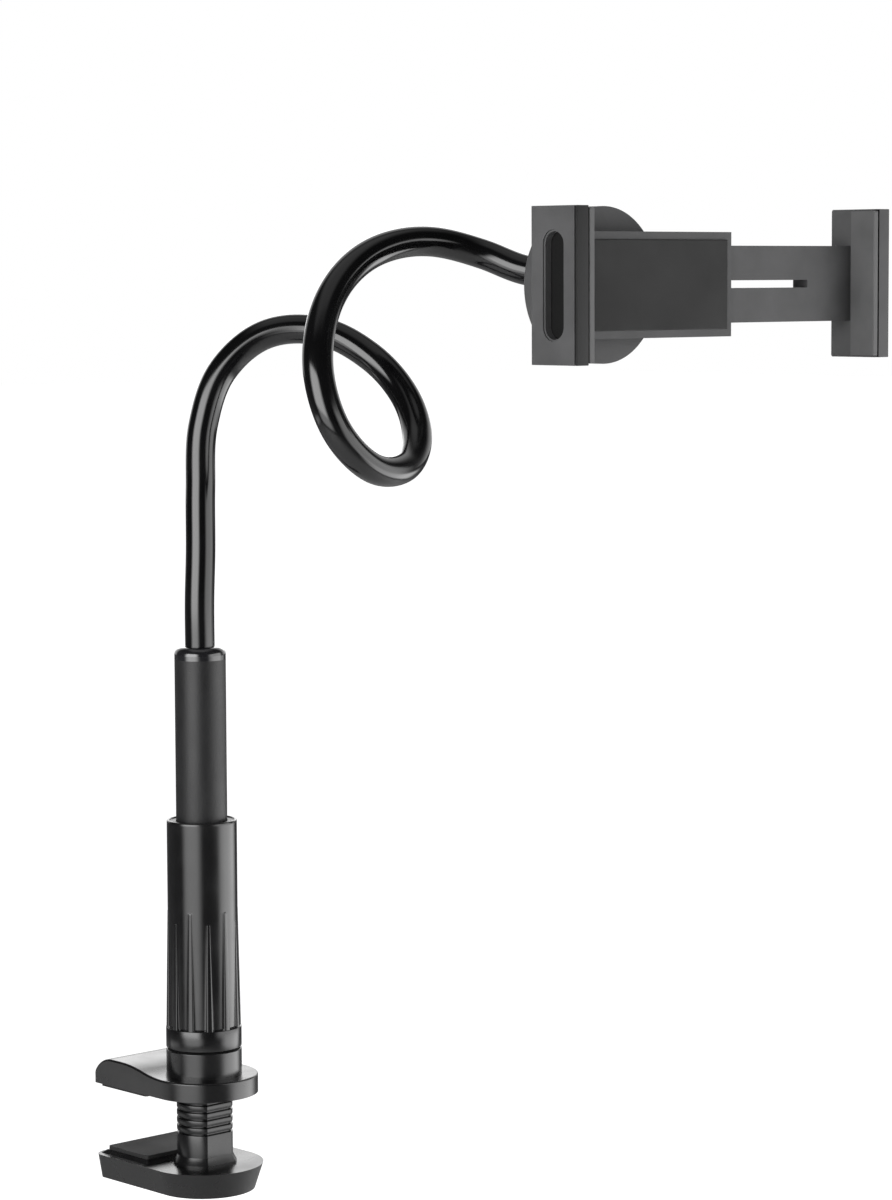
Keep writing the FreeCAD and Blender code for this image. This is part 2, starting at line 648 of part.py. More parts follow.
def neck():
    """Gooseneck: a bendable core in a smooth sheath, cut where its joints are."""
    points = [cap_top - V(0, 0, ROOT_DEPTH)] + [cap_top + V(*p) for p in NECK_ROUTE] + [neck_end]
    headings = neck_headings(points, Z_AXIS, stud_line * -1)
    cuts = [0] + [k + 1 for k in KNUCKLES] + [len(points) - 1]
    for number, (first, last) in enumerate(zip(cuts, cuts[1:])):
        edges = []
        for i in range(first, last):
            edges += biarc(points[i], headings[i], points[i + 1], headings[i + 1])
        tip = last == len(points) - 1
        sheath = pipe(edges, headings[first], NECK_RADIUS)
        bore = pipe(edges, headings[first], CORE_RADIUS + CORE_GAP)
        core = pipe(edges, headings[first], CORE_RADIUS)
        if not tip:
            end_ball = Part.makeSphere(NECK_RADIUS, points[last])
            bore = bore.cut(end_ball)
            core = core.cut(Part.makeSphere(NECK_RADIUS + CORE_GAP, points[last]))
        sheath = sheath.cut(bore)
        if not tip:
            dome = Part.makeSphere(NECK_RADIUS, points[last], headings[last], 0, 90, 360)
            sheath = sheath.fuse(dome)
        if first > 0:
            cup = Part.makeSphere(NECK_RADIUS + RUN_GAP, points[first])
            sheath = sheath.cut(cup)
            core = core.cut(cup)
        else:
            lower = Part.makeCylinder(CORE_RADIUS, FERRULE_LENGTH, V(0, 0, neck_root - FERRULE_LENGTH))
            core = core.fuse(lower)
        keep("neck_sheath_%d" % number, sheath)
        keep("neck_core_%d" % number, core)
        length = sum(e.Length for e in edges)
        print("neck piece %d: %.1f mm long, knuckle at %s" % (
            number, length, tuple(round(c, 2) for c in points[first] + origin_shift)))


def mouth_cone(radius, axis):
    """Cone that opens a ball shell towards the neck."""
    reach = 3 * radius
    wide = reach * math.tan(math.radians(MOUTH_ANGLE))
    return Part.makeCone(0, wide, reach, ball, axis)


def ball_joint():
    """Ball on the neck's end, and the two shells that let it tilt, pan and roll."""
    flange_low = STUD_LENGTH - STUD_FLANGE
    stud = Part.makeSphere(BALL_RADIUS, ball)
    stud = stud.fuse(Part.makeCylinder(STUD_RADIUS, flange_low + OVER, ball, stud_line))
    flange = Part.makeCylinder(STUD_FLANGE_RADIUS, STUD_FLANGE, ball + stud_line * flange_low, stud_line)
    keep("ball_stud", stud.fuse(flange))
    cone = mouth_cone(socket_radius, Y_AXIS)
    for name, inner, outer in (("ball_seat_inner", shell_a_in, shell_a_out),
                               ("ball_seat_outer", shell_b_in, shell_b_out)):
        shell = Part.makeSphere(outer, ball).cut(Part.makeSphere(inner, ball)).cut(cone)
        keep(name, shell)
    lock = Part.makeCylinder(LOCK_RADIUS, PUCK_OVER_BALL + LOCK_PROUD, ball, Y_AXIS)
    lock = soften(lock, SOFTEN / 2, lambda e: abs(e.BoundBox.YMin - puck_back - LOCK_PROUD) < NEAR)
    lock = lock.cut(Part.makeSphere(socket_radius, ball)).cut(cone)
    keep("ball_lock_ring", lock)


def holder_tray():
    """Hollow back of the holder with the round hub, its cover and the soft pad."""
    low, high = ball.z - TRAY_HEIGHT / 2, ball.z + TRAY_HEIGHT / 2
    tray = box(tray_left, tray_right, tray_front, tray_back, low, high)
    tray = soften(tray, SOFTEN, lambda e: abs(e.BoundBox.YMin - tray_back) < NEAR
                  and e.BoundBox.XLength > TRAY_LENGTH - NEAR)
    puck = Part.makeCylinder(PUCK_RADIUS, PUCK_THICK, V(ball.x, tray_back, ball.z), Y_AXIS)
    puck = soften(puck, PUCK_EDGE, lambda e: abs(e.BoundBox.YMin - puck_back) < NEAR)
    tray = tray.fuse(puck)
    cavity_half = arm_half + ARM_GAP
    tray = tray.cut(box(tray_left + TRAY_WALL, tray_right + OVER, tray_front - OVER, cavity_back,
                        ball.z - cavity_half, ball.z + cavity_half))
    tray = tray.cut(Part.makeSphere(socket_radius, ball))
    tray = tray.cut(Part.makeCylinder(LOCK_RADIUS + FIT_GAP, PUCK_OVER_BALL + OVER, ball, Y_AXIS))
    cover = box(tray_left, tray_right, cover_front, tray_front, low, high)
    screws = []
    head_top = tray_back
    shank_end = cover_front + COVER_THICK / 2
    for x in (tray_left + COVER_SCREW_INSET, tray_right - COVER_SCREW_INSET):
        for z in (low + COVER_SCREW_INSET, high - COVER_SCREW_INSET):
            head_y = head_top - COVER_SCREW_HEAD_HEIGHT
            at = V(x, head_top, z)
            room = COVER_SCREW_HEAD + FIT_GAP
            head_room = Part.makeCylinder(room, COVER_SCREW_HEAD_HEIGHT, at, Y_AXIS * -1)
            hole = Part.makeCylinder(COVER_SCREW_RADIUS + FIT_GAP, head_top - shank_end, at, Y_AXIS * -1)
            tray = tray.cut(head_room).cut(hole)
            cover = cover.cut(hole)
            head = Part.makeCylinder(COVER_SCREW_HEAD, COVER_SCREW_HEAD_HEIGHT, V(x, head_y, z), Y_AXIS)
            shank = Part.makeCylinder(COVER_SCREW_RADIUS, head_top - shank_end, at, Y_AXIS * -1)
            screws.append(head.fuse(shank))
    for hole in jaw_screw_shanks(tray_left, 1, FIT_GAP):
        tray = tray.cut(hole)
    anchors = anchor_pins(tray_anchor_x)
    stop = Part.makeCylinder(STOP_RADIUS, cavity_back - tray_front, V(stop_x, tray_front, ball.z), Y_AXIS)
    keep("holder_tray", tray)
    keep("holder_cover", cover)
    keep("cover_screws", *screws)
    keep("tray_spring_pins", *anchors)
    keep("arm_stop_pin", stop)
    inset = BACK_PAD_INSET
    pad = box(grip_left + RUN_GAP, tray_right - inset, cover_front - BACK_PAD_THICK, cover_front,
              low + inset, high - inset)
    pad = soften(pad, SOFTEN / 2, lambda e: abs(e.BoundBox.YMax - cover_front + BACK_PAD_THICK) < NEAR)
    keep("back_pad", pad)


def anchor_pins(x):
    """Two pins across the tray's hollow that the springs hook on."""
    pins = []
    for side in (-1, 1):
        pins.append(Part.makeCylinder(ANCHOR_RADIUS, cavity_back - tray_front,
                                      V(x, tray_front, ball.z + side * SPRING_OFFSET), Y_AXIS))
    return pins


def jaw_screw_shanks(seat_x, inward, extra):
    """Shanks, or holes for them, of the screws that hold a jaw to the piece behind its inner face."""
    shanks = []
    web = JAW_THICK - POCKET_DEPTH
    for side in (-1, 1):
        at = V(seat_x - inward * web, jaw_screw_y, ball.z + side * JAW_SCREW_SPACING / 2)
        shanks.append(Part.makeCylinder(JAW_SCREW_RADIUS + extra, web + JAW_SCREW_REACH + extra,
                                        at, X_AXIS * inward))
    return shanks


def jaw(prefix, grip_x, inward):
    """One jaw: block with a plugged pocket, front plate, grooved pad and two screws."""
    inner = grip_x - inward * JAW_PAD
    outer = inner - inward * JAW_THICK
    x0, x1 = min(inner, outer), max(inner, outer)
    high = jaw_low + JAW_HEIGHT
    face_back = jaw_front + JAW_FACE
    block = box(x0, x1, face_back, jaw_back, jaw_low, high)
    block = soften(block, JAW_EDGE, lambda e: abs(e.CenterOfMass.x - outer) < NEAR
                   and e.BoundBox.YMin > face_back + NEAR
                   or abs(e.CenterOfMass.y - jaw_back) < NEAR and e.BoundBox.XLength > OVER)
    floor_x = outer + inward * POCKET_DEPTH
    straight = POCKET_HEIGHT / 2 - POCKET_WIDTH / 2

    def stadium(half, x, depth):
        low_c, high_c = V(x, pocket_y, ball.z - straight), V(x, pocket_y, ball.z + straight)
        wire = wire_of([
            low_c + V(0, half, 0),
            high_c + V(0, half, 0),
            (high_c + V(0, 0, half), high_c - V(0, half, 0)),
            low_c - V(0, half, 0),
            (low_c - V(0, 0, half), low_c + V(0, half, 0)),
        ])
        return Part.Face(wire).extrude(V(depth, 0, 0))

    outside = outer - inward * OVER
    block = block.cut(stadium(POCKET_WIDTH / 2, outside, inward * (POCKET_DEPTH + OVER)))
    block = block.cut(stadium(POCKET_WIDTH / 2 + POCKET_RIM, outside, inward * (POCKET_RIM + OVER)))
    for hole in jaw_screw_shanks(inner, inward, FIT_GAP):
        block = block.cut(hole)
    heads = []
    for side, shank in zip((-1, 1), jaw_screw_shanks(inner, inward, 0)):
        at = V(floor_x, jaw_screw_y, ball.z + side * JAW_SCREW_SPACING / 2)
        sink = JAW_SCREW_HEAD_HEIGHT
        block = block.cut(Part.makeCylinder(JAW_SCREW_HEAD + FIT_GAP, sink, at, X_AXIS * inward))
        heads.append(Part.makeCylinder(JAW_SCREW_HEAD, sink, at, X_AXIS * inward).fuse(shank))
    keep(prefix + "_jaw", block)
    keep(prefix + "_jaw_screws", *heads)
    keep(prefix + "_pocket_plug", stadium(POCKET_WIDTH / 2 - FIT_GAP, floor_x, -inward * PLUG_THICK))
    plate = box(x0, x1, jaw_front, face_back - FIT_GAP, jaw_low, high)
    plate = soften(plate, JAW_EDGE, lambda e: abs(e.CenterOfMass.y - jaw_front) < NEAR)
    keep(prefix + "_jaw_face", plate)
    pad_tip = grip_x + inward * LAND_OVER
    p0, p1 = min(inner, pad_tip), max(inner, pad_tip)
    low_pad, high_pad = jaw_low + JAW_PAD_INSET, high - JAW_PAD_INSET
    tail_y = held_back + RUN_GAP + BACK_PAD_THICK
    pad = box(p0, p1, jaw_front + FIT_GAP, tail_y, low_pad, high_pad)
    pad = soften(pad, SOFTEN / 2, lambda e: abs(e.CenterOfMass.y - jaw_front - FIT_GAP) < NEAR)
    groove_end = pad_tip + inward * OVER
    g0, g1 = min(grip_x, groove_end), max(grip_x, groove_end)
    groove = box(g0, g1, held_front, tail_y + OVER, low_pad - OVER, high_pad + OVER)
    keep(prefix + "_jaw_pad", pad.cut(groove))


def slide_arm():
    """Flat arm of the sliding jaw, with slots for the springs and for the stop pin."""
    y0 = arm_mid_y - ARM_THICK / 2
    y1 = arm_mid_y + ARM_THICK / 2
    arm_right = grip_right + JAW_PAD
    arm = box(arm_left, arm_right, y0, y1, ball.z - arm_half, ball.z + arm_half)
    half = SPRING_SLOT / 2
    for side in (-1, 1):
        z = ball.z + side * SPRING_OFFSET
        slot_end = arm_left + SPRING_SLOT_LENGTH
        arm = arm.cut(box(arm_left - OVER, slot_end, y0 - OVER, y1 + OVER, z - half, z + half))
    slot_low = stop_x - ARM_OUT - STOP_SLOT / 2
    slot_high = stop_x + ARM_IN + STOP_SLOT / 2
    stop_half = STOP_SLOT / 2
    arm = arm.cut(box(slot_low, slot_high, y0 - OVER, y1 + OVER, ball.z - stop_half, ball.z + stop_half))
    for hole in jaw_screw_shanks(arm_right, -1, FIT_GAP):
        arm = arm.cut(hole)
    keep("slide_arm", arm)
    pins = []
    for side in (-1, 1):
        z = ball.z + side * SPRING_OFFSET
        foot = V(arm_anchor_x, arm_mid_y, z - half)
        pins.append(Part.makeCylinder(ANCHOR_RADIUS, SPRING_SLOT, foot, Z_AXIS))
    keep("arm_spring_pins", *pins)
    springs = []
    for side in (-1, 1):
        z = ball.z + side * SPRING_OFFSET
        start = tray_anchor_x + ANCHOR_RADIUS + FIT_GAP
        end = arm_anchor_x - ANCHOR_RADIUS - FIT_GAP
        springs.append(Part.makeCylinder(SPRING_RADIUS, end - start, V(start, arm_mid_y, z), X_AXIS))
    keep("tension_springs", *springs)


def main():
    upper_jaw()
    handle()
    stem()
    lower_jaw()
    post()
    neck()
    ball_joint()
    holder_tray()
    jaw("fixed", grip_left, 1)
    jaw("sliding", grip_right, -1)
    slide_arm()
    os.makedirs("parts", exist_ok=True)
    for name, shape in PIECES.items():
        moved = shape.copy()
        moved.translate(origin_shift)
        moved.exportStep("parts/%s.step" % name)


main()
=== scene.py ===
"""Looks of the gooseneck tablet holder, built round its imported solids. Metres, +Z up."""

import logging
import math
from dataclasses import dataclass, field
from enum import Enum
from itertools import product

import bmesh
import bpy
from mathutils import Matrix, Vector


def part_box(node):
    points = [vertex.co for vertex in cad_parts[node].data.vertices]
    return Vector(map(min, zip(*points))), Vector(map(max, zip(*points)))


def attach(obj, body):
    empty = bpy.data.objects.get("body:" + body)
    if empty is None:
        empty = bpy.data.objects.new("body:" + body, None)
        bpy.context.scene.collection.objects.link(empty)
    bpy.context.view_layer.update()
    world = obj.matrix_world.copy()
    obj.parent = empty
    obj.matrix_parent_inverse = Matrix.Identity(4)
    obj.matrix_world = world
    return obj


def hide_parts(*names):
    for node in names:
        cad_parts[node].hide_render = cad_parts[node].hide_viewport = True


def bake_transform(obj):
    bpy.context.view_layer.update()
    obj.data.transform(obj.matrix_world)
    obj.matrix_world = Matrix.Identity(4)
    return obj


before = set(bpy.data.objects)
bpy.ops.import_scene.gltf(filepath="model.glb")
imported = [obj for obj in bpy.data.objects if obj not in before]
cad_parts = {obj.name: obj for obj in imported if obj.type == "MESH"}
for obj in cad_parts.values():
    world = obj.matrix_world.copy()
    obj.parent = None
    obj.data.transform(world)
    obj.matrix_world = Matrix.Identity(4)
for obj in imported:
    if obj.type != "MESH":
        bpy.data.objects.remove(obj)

log = logging.getLogger("tablet_holder")

MM = 0.001
TINY = 1e-6
X_AXIS = Vector((1, 0, 0))
Y_AXIS = Vector((0, 1, 0))
Z_AXIS = Vector((0, 0, 1))
WHITE = (1.0, 1.0, 1.0, 1.0)

Pair = tuple[float, float]
Triple = tuple[float, float, float]
Colour = tuple[float, float, float, float]
Mesh = bmesh.types.BMesh
Verts = list[bmesh.types.BMVert]
Edges = list[bmesh.types.BMEdge]
Tree = bpy.types.NodeTree
Socket = bpy.types.NodeSocket


def feed(tree: Tree, source: object, entry: Socket) -> None:
    """Give a socket its value, by a link or as a constant.

    Args:
        tree: Node tree that the socket is in.
        source: Output of another node, or a constant.
        entry: The socket.
    """
    if isinstance(source, Socket):
        tree.links.new(source, entry)
    else:
        entry.default_value = source


def maths(tree: Tree, operation: str, *sources: object) -> Socket:
    """Add a maths node.

    Args:
        tree: Node tree that gets it.
        operation: What it works out.
        *sources: An output of another node or a number for each of its inputs.

    Returns:
        Its output.
    """
    node = tree.nodes.new("ShaderNodeMath")
    node.operation = operation
    for source, entry in zip(sources, node.inputs):
        feed(tree, source, entry)
    return node.outputs["Value"]


def vector_maths(tree: Tree, operation: str, output: str, *sources: object) -> Socket:
    """Add a vector maths node.

    Args:
        tree: Node tree that gets it.
        operation: What it works out.
        output: Name of the output that is wanted.
        *sources: An output of another node or a vector for each of its inputs.

    Returns:
        That output.
    """
    node = tree.nodes.new("ShaderNodeVectorMath")
    node.operation = operation
    for source, entry in zip(sources, node.inputs):
        feed(tree, source, entry)
    return node.outputs[output]


def spread(tree: Tree, value: Socket, ends: Pair, targets: Pair = (0.0, 1.0),
           eased: bool = False) -> Socket:
    """Carry a value over from one range to another.

    Args:
        tree: Node tree that gets the node.
        value: The value.
        ends: Range that it comes from.
        targets: Range that it goes to.
        eased: Whether it starts and stops softly.

    Returns:
        The value in its new range.
    """
    node = tree.nodes.new("ShaderNodeMapRange")
    if eased:
        node.interpolation_type = "SMOOTHSTEP"
    for name, number in zip(("From Min", "From Max", "To Min", "To Max"), (*ends, *targets)):
        node.inputs[name].default_value = number
    tree.links.new(value, node.inputs["Value"])
    return node.outputs["Result"]


def mixed(tree: Tree, share: Socket, first: object, second: object) -> Socket:
    """Mix two colours.

    Args:
        tree: Node tree that gets the node.
        share: How much of the second colour shows.
        first: Output of another node, or a colour.
        second: Output of another node, or a colour.

    Returns:
        The mixed colour.
    """
    node = tree.nodes.new("ShaderNodeMix")
    node.data_type = "RGBA"
    feed(tree, first, node.inputs["A"])
    feed(tree, second, node.inputs["B"])
    feed(tree, share, node.inputs["Factor"])
    return node.outputs["Result"]


class Grain(Enum):
    """Surface patterns that show up close."""

    SPARK = "fine spark grain of moulded plastic"
    PEBBLE = "pebbled soft-touch rubber"
    SMOOTH = "smooth skin with a faint waviness"
    BRUSHED = "fine lines from turning or drawing"


@dataclass(frozen=True)
class Finish:
    """One surface of the holder: its colour, gloss and grain, and how they drift."""

    name: str
    colour: Triple
    roughness: float
    grain: Grain
    metallic: float = 0.0
    specular: float = 0.5
    coat: float = 0.0
    coat_roughness: float = 0.2
    grain_per_m: float = 2400.0
    grain_height: float = 0.03 * MM
    grain_detail: float = 2.0
    brush_stretch: float = 0.04
    colour_swing: float = 0.12
    colour_ends: Pair = (0.35, 0.65)
    gloss_swing: float = 0.06
    gloss_ends: Pair = (0.3, 0.7)
    least_roughness: float = 0.02
    cloud_per_m: float = 38.0
    cloud_detail: float = 5.0

    def make(self) -> bpy.types.Material:
        """Build the material with its nodes.

        Returns:
            The new material.
        """
        material = bpy.data.materials.new(self.name)
        material.use_nodes = True
        tree = material.node_tree
        shader = tree.nodes["Principled BSDF"]
        shader.inputs["Metallic"].default_value = self.metallic
        shader.inputs["Specular IOR Level"].default_value = self.specular
        shader.inputs["Coat Weight"].default_value = self.coat
        shader.inputs["Coat Roughness"].default_value = self.coat_roughness
        place = tree.nodes.new("ShaderNodeTexCoord").outputs["Object"]
        cloud = tree.nodes.new("ShaderNodeTexNoise")
        cloud.inputs["Scale"].default_value = self.cloud_per_m
        cloud.inputs["Detail"].default_value = self.cloud_detail
        tree.links.new(place, cloud.inputs["Vector"])
        self._swing_colour(tree, cloud.outputs["Fac"], shader)
        self._swing_gloss(tree, cloud.outputs["Fac"], shader)
        self._raise_grain(tree, place, shader)
        return material

    def _swing_colour(self, tree: Tree, cloud: Socket, shader: bpy.types.Node) -> None:
        """Let the colour drift a little over the surface.

        Args:
            tree: Nodes of the material.
            cloud: The soft noise that drives the drift.
            shader: The surface shader.
        """
        ramp = tree.nodes.new("ShaderNodeValToRGB")
        shades = (1.0 - self.colour_swing, 1.0 + self.colour_swing)
        for stop, place, shade in zip(ramp.color_ramp.elements, self.colour_ends, shades):
            stop.position = place
            stop.color = (*(min(1.0, c * shade) for c in self.colour), 1.0)
        tree.links.new(cloud, ramp.inputs["Fac"])
        tree.links.new(ramp.outputs["Color"], shader.inputs["Base Color"])

    def _swing_gloss(self, tree: Tree, cloud: Socket, shader: bpy.types.Node) -> None:
        """Let the roughness drift, as handled plastic does.

        Args:
            tree: Nodes of the material.
            cloud: The soft noise that drives the drift.
            shader: The surface shader.
        """
        glossy = max(self.least_roughness, self.roughness - self.gloss_swing)
        matt = min(1.0, self.roughness + self.gloss_swing)
        rough = spread(tree, cloud, self.gloss_ends, (glossy, matt))
        tree.links.new(rough, shader.inputs["Roughness"])

    def _raise_grain(self, tree: Tree, place: Socket, shader: bpy.types.Node) -> None:
        """Emboss the grain.

        Args:
            tree: Nodes of the material.
            place: The object's coordinates.
            shader: The surface shader.
        """
        mapping = tree.nodes.new("ShaderNodeMapping")
        tree.links.new(place, mapping.inputs["Vector"])
        if self.grain is Grain.PEBBLE:
            pattern = tree.nodes.new("ShaderNodeTexVoronoi")
            pattern.feature = "SMOOTH_F1"
            height = pattern.outputs["Distance"]
        else:
            pattern = tree.nodes.new("ShaderNodeTexNoise")
            pattern.inputs["Detail"].default_value = self.grain_detail
            height = pattern.outputs["Fac"]
        if self.grain is Grain.BRUSHED:
            mapping.inputs["Scale"].default_value = (1.0, 1.0, self.brush_stretch)
        pattern.inputs["Scale"].default_value = self.grain_per_m
        tree.links.new(mapping.outputs["Vector"], pattern.inputs["Vector"])
        bump = tree.nodes.new("ShaderNodeBump")
        bump.inputs["Strength"].default_value = 1.0
        bump.inputs["Distance"].default_value = self.grain_height
        tree.links.new(height, bump.inputs["Height"])
        tree.links.new(bump.outputs["Normal"], shader.inputs["Normal"])


CLAMP_PLASTIC = Finish("satin_clamp_plastic", (0.005, 0.005, 0.0052), 0.25, Grain.SPARK,
                       grain_height=0.010 * MM)
# Lower jaw and stem: the clamp plastic made darker and less glossy, painted shade over them.
SHADED_FOOT_PLASTIC = Finish("satin_foot_plastic_painted_shade", (0.004, 0.004, 0.0042), 0.27, Grain.SPARK,
                      grain_height=0.010 * MM, specular=0.38)
HANDLE_PLASTIC = Finish("satin_handle_plastic", (0.004, 0.004, 0.0042), 0.2, Grain.SPARK,
                        grain_height=0.006 * MM)
HOLDER_PLASTIC = Finish("matt_holder_plastic", (0.066, 0.066, 0.067), 0.5, Grain.SPARK,
                        grain_height=0.012 * MM, specular=0.12)
# The fixed jaw's front plate: the holder plastic painted darker, painted shade on that face.
SHADED_LIP_PLASTIC = Finish("painted_shade_lip_plastic", (0.017, 0.017, 0.0172), 0.5, Grain.SPARK,
                     grain_height=0.012 * MM, specular=0.12)
CAP_GLOSS = Finish("glossy_cap", (0.008, 0.008, 0.009), 0.16, Grain.SMOOTH,
                   coat=0.5, coat_roughness=0.06, grain_per_m=260.0, grain_height=0.004 * MM)
SOFT_GRIP = Finish("pebbled_soft_grip", (0.008, 0.008, 0.0084), 0.44, Grain.PEBBLE,
                   grain_per_m=1500.0, grain_height=0.07 * MM, specular=0.32)
NECK_SKIN = Finish("smooth_neck_skin", (0.0025, 0.0025, 0.0027), 0.13, Grain.SMOOTH,
                   grain_per_m=900.0, grain_height=0.0008 * MM, colour_swing=0.2,
                   gloss_swing=0.03)
PAD_RUBBER = Finish("pad_rubber", (0.012, 0.012, 0.012), 0.78, Grain.SPARK,
                    grain_height=0.03 * MM, specular=0.35)
POCKET_BLACK = Finish("black_pocket_plug", (0.003, 0.003, 0.003), 0.6, Grain.SPARK,
                      grain_height=0.02 * MM, specular=0.15)
GRIP_PAD = Finish("grey_grip_pad", (0.078, 0.078, 0.079), 0.66, Grain.SPARK,
                  grain_height=0.02 * MM, specular=0.4)
ACETAL = Finish("slippery_acetal", (0.03, 0.03, 0.031), 0.42, Grain.SMOOTH)
# Near-black, dull finish on the jaw plates' seam faces and the thrust washer: painted shade, so
# those gaps read dark under any light.
PAINTED_SEAM_SHADE = Finish("painted_seam_shade", (0.002, 0.002, 0.002), 0.85, Grain.SMOOTH, specular=0.1)
STEEL = Finish("plated_steel", (0.56, 0.57, 0.58), 0.28, Grain.BRUSHED,
               metallic=1.0, grain_height=0.004 * MM)
BLACK_STEEL = Finish("blackened_steel", (0.05, 0.05, 0.052), 0.34, Grain.BRUSHED,
                     metallic=1.0, grain_height=0.006 * MM)
BRASS = Finish("turned_brass", (0.62, 0.45, 0.19), 0.30, Grain.BRUSHED,
               metallic=1.0, grain_height=0.005 * MM)
ALUMINIUM = Finish("drawn_aluminium", (0.66, 0.67, 0.68), 0.34, Grain.BRUSHED,
                   metallic=1.0, grain_height=0.005 * MM)

NECK_LENGTHS = 5
NODE_FINISHES: dict[Finish, tuple[str, ...]] = {
    CLAMP_PLASTIC: ("upper_jaw",),
    SHADED_FOOT_PLASTIC: ("lower_jaw", "clamp_stem"),
    HANDLE_PLASTIC: ("handle_grip", "handle_retainer"),
    HOLDER_PLASTIC: ("holder_tray", "holder_cover", "fixed_jaw", "sliding_jaw",
                     "sliding_jaw_face", "slide_arm", "ball_lock_ring"),
    SHADED_LIP_PLASTIC: ("fixed_jaw_face",),
    CAP_GLOSS: ("sleeve_cap",),
    SOFT_GRIP: ("grip_sleeve",),
    NECK_SKIN: tuple(f"neck_sheath_{i}" for i in range(NECK_LENGTHS)),
    PAD_RUBBER: ("upper_jaw_pad", "lower_jaw_pad", "back_pad"),
    POCKET_BLACK: ("fixed_pocket_plug", "sliding_pocket_plug"),
    GRIP_PAD: ("fixed_jaw_pad", "sliding_jaw_pad"),
    ACETAL: ("handle_bush", "ball_seat_inner", "ball_seat_outer"),
    # The thrust washer is painted near black: painted shade of the thin gap it fills.
    PAINTED_SEAM_SHADE: ("thrust_washer",),
    STEEL: ("stem_screw", "stem_washer", "retaining_clip", "tray_spring_pins",
            "arm_spring_pins", "arm_stop_pin", "tension_springs"),
    BLACK_STEEL: ("cover_screws", "fixed_jaw_screws", "sliding_jaw_screws", "ball_stud"),
    BRASS: ("clamp_nut", "neck_ferrule"),
    ALUMINIUM: ("core_tube", *(f"neck_core_{i}" for i in range(NECK_LENGTHS))),
}


class Workshop:
    """Makes finished objects out of meshes and keeps one material for each finish."""

    def __init__(self) -> None:
        """Start with no materials made."""
        self._materials: dict[Finish, bpy.types.Material] = {}

    def material(self, finish: Finish) -> bpy.types.Material:
        """Give the material of a finish, made once.

        Args:
            finish: The finish that is wanted.

        Returns:
            Its material.
        """
        if finish not in self._materials:
            self._materials[finish] = finish.make()
        return self._materials[finish]

    def piece(self, name: str, mesh: Mesh, finish: Finish,
              sharp_deg: float = 35.0) -> bpy.types.Object:
        """Turn a bmesh into a smooth-shaded object at the origin.

        Args:
            name: Name of the piece.
            mesh: Its geometry, already in place. It is freed.
            finish: Its finish.
            sharp_deg: Edges that turn more than this stay crisp.

        Returns:
            The object, linked to the scene.
        """
        bmesh.ops.recalc_face_normals(mesh, faces=mesh.faces)
        for face in mesh.faces:
            face.smooth = True
        for edge in mesh.edges:
            if len(edge.link_faces) == 2 and edge.calc_face_angle() > math.radians(sharp_deg):
                edge.smooth = False
        data = bpy.data.meshes.new(name)
        mesh.to_mesh(data)
        mesh.free()
        data.materials.append(self.material(finish))
        made = bpy.data.objects.new(name, data)
        bpy.context.scene.collection.objects.link(made)
        log.info("%s: %d faces", name, len(data.polygons))
        return made

    def dress(self, node: str, finish: Finish) -> None:
        """Give a carried-over solid its finish.

        Args:
            node: Name of the solid.
            finish: Its finish.
        """
        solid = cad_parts[node]
        if not solid.data.materials:
            solid.data.materials.append(None)
        for place in solid.material_slots:
            place.link = "OBJECT"
            place.material = self.material(finish)
        log.info("%s: solid in %s", node, finish.name)


def upright_axis(node: str, height: float = 0.0) -> Vector:
    """Point on the upright axis of a round node.

    Args:
        node: Name of the node.
        height: Height of the point.

    Returns:
        The middle of the node's box seen from above, at that height.
    """
    low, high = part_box(node)
    return Vector(((low.x + high.x) / 2, (low.y + high.y) / 2, height))


def grow(mesh: Mesh, edges: Edges) -> tuple[Verts, Edges]:
    """Extrude a loop of edges on the spot.

    Args:
        mesh: Mesh that the loop is in.
        edges: The loop's edges.

    Returns:
        Vertices and edges of the new loop, which still stands where the old one does.
    """
    made = bmesh.ops.extrude_edge_only(mesh, edges=edges)["geom"]
    verts = [g for g in made if isinstance(g, bmesh.types.BMVert)]
    return verts, [g for g in made if isinstance(g, bmesh.types.BMEdge)]


def loop_of(verts: Verts) -> Edges:
    """Edges that meet a loop's vertices, each of them once."""
    return list(dict.fromkeys(edge for vert in verts for edge in vert.link_edges))


def even_ring(angles: list[float], radius: float) -> list[Pair]:
    """Angle and radius of a ring's points, all with the same radius."""
    return [(angle, radius) for angle in angles]


def quarter_round(degrees: tuple[float, ...]) -> list[Pair]:
    """Points along a rounded edge.

    Args:
        degrees: How far round the edge each point lies.

    Returns:
        For each point, one less its cosine, and its sine.
    """
    return [(1 - math.cos(math.radians(d)), math.sin(math.radians(d))) for d in degrees]


def carried_frames(points: list[Vector]) -> list[Matrix]:
    """Frames along a line that turn with it but never twist.

    Args:
        points: The line's points.

    Returns:
        One matrix for each point, with Z along the line.
    """
    frames = []
    turn = Matrix.Identity(3)
    before = Z_AXIS
    for i, here in enumerate(points):
        ahead = points[min(i + 1, len(points) - 1)] - points[max(i - 1, 0)]
        ahead.normalize()
        turn = before.rotation_difference(ahead).to_matrix() @ turn
        before = ahead
        frames.append(Matrix.Translation(here) @ turn.to_4x4())
    return frames


def swept_tube(frames: list[Matrix], radius: float, sides: int) -> Mesh:
    """Sweep a circle through frames and close both ends.

    Args:
        frames: Where the circles stand.
        radius: The tube's radius.
        sides: Number of sides of each circle.

    Returns:
        The tube.
    """
    mesh = bmesh.new()
    bmesh.ops.create_circle(mesh, segments=sides, radius=radius, matrix=frames[0])
    edges = list(mesh.edges)
    bmesh.ops.contextual_create(mesh, geom=edges)
    for before, after in zip(frames, frames[1:]):
        verts, edges = grow(mesh, edges)
        bmesh.ops.transform(mesh, matrix=after @ before.inverted(), verts=verts)
    bmesh.ops.contextual_create(mesh, geom=edges)
    return mesh


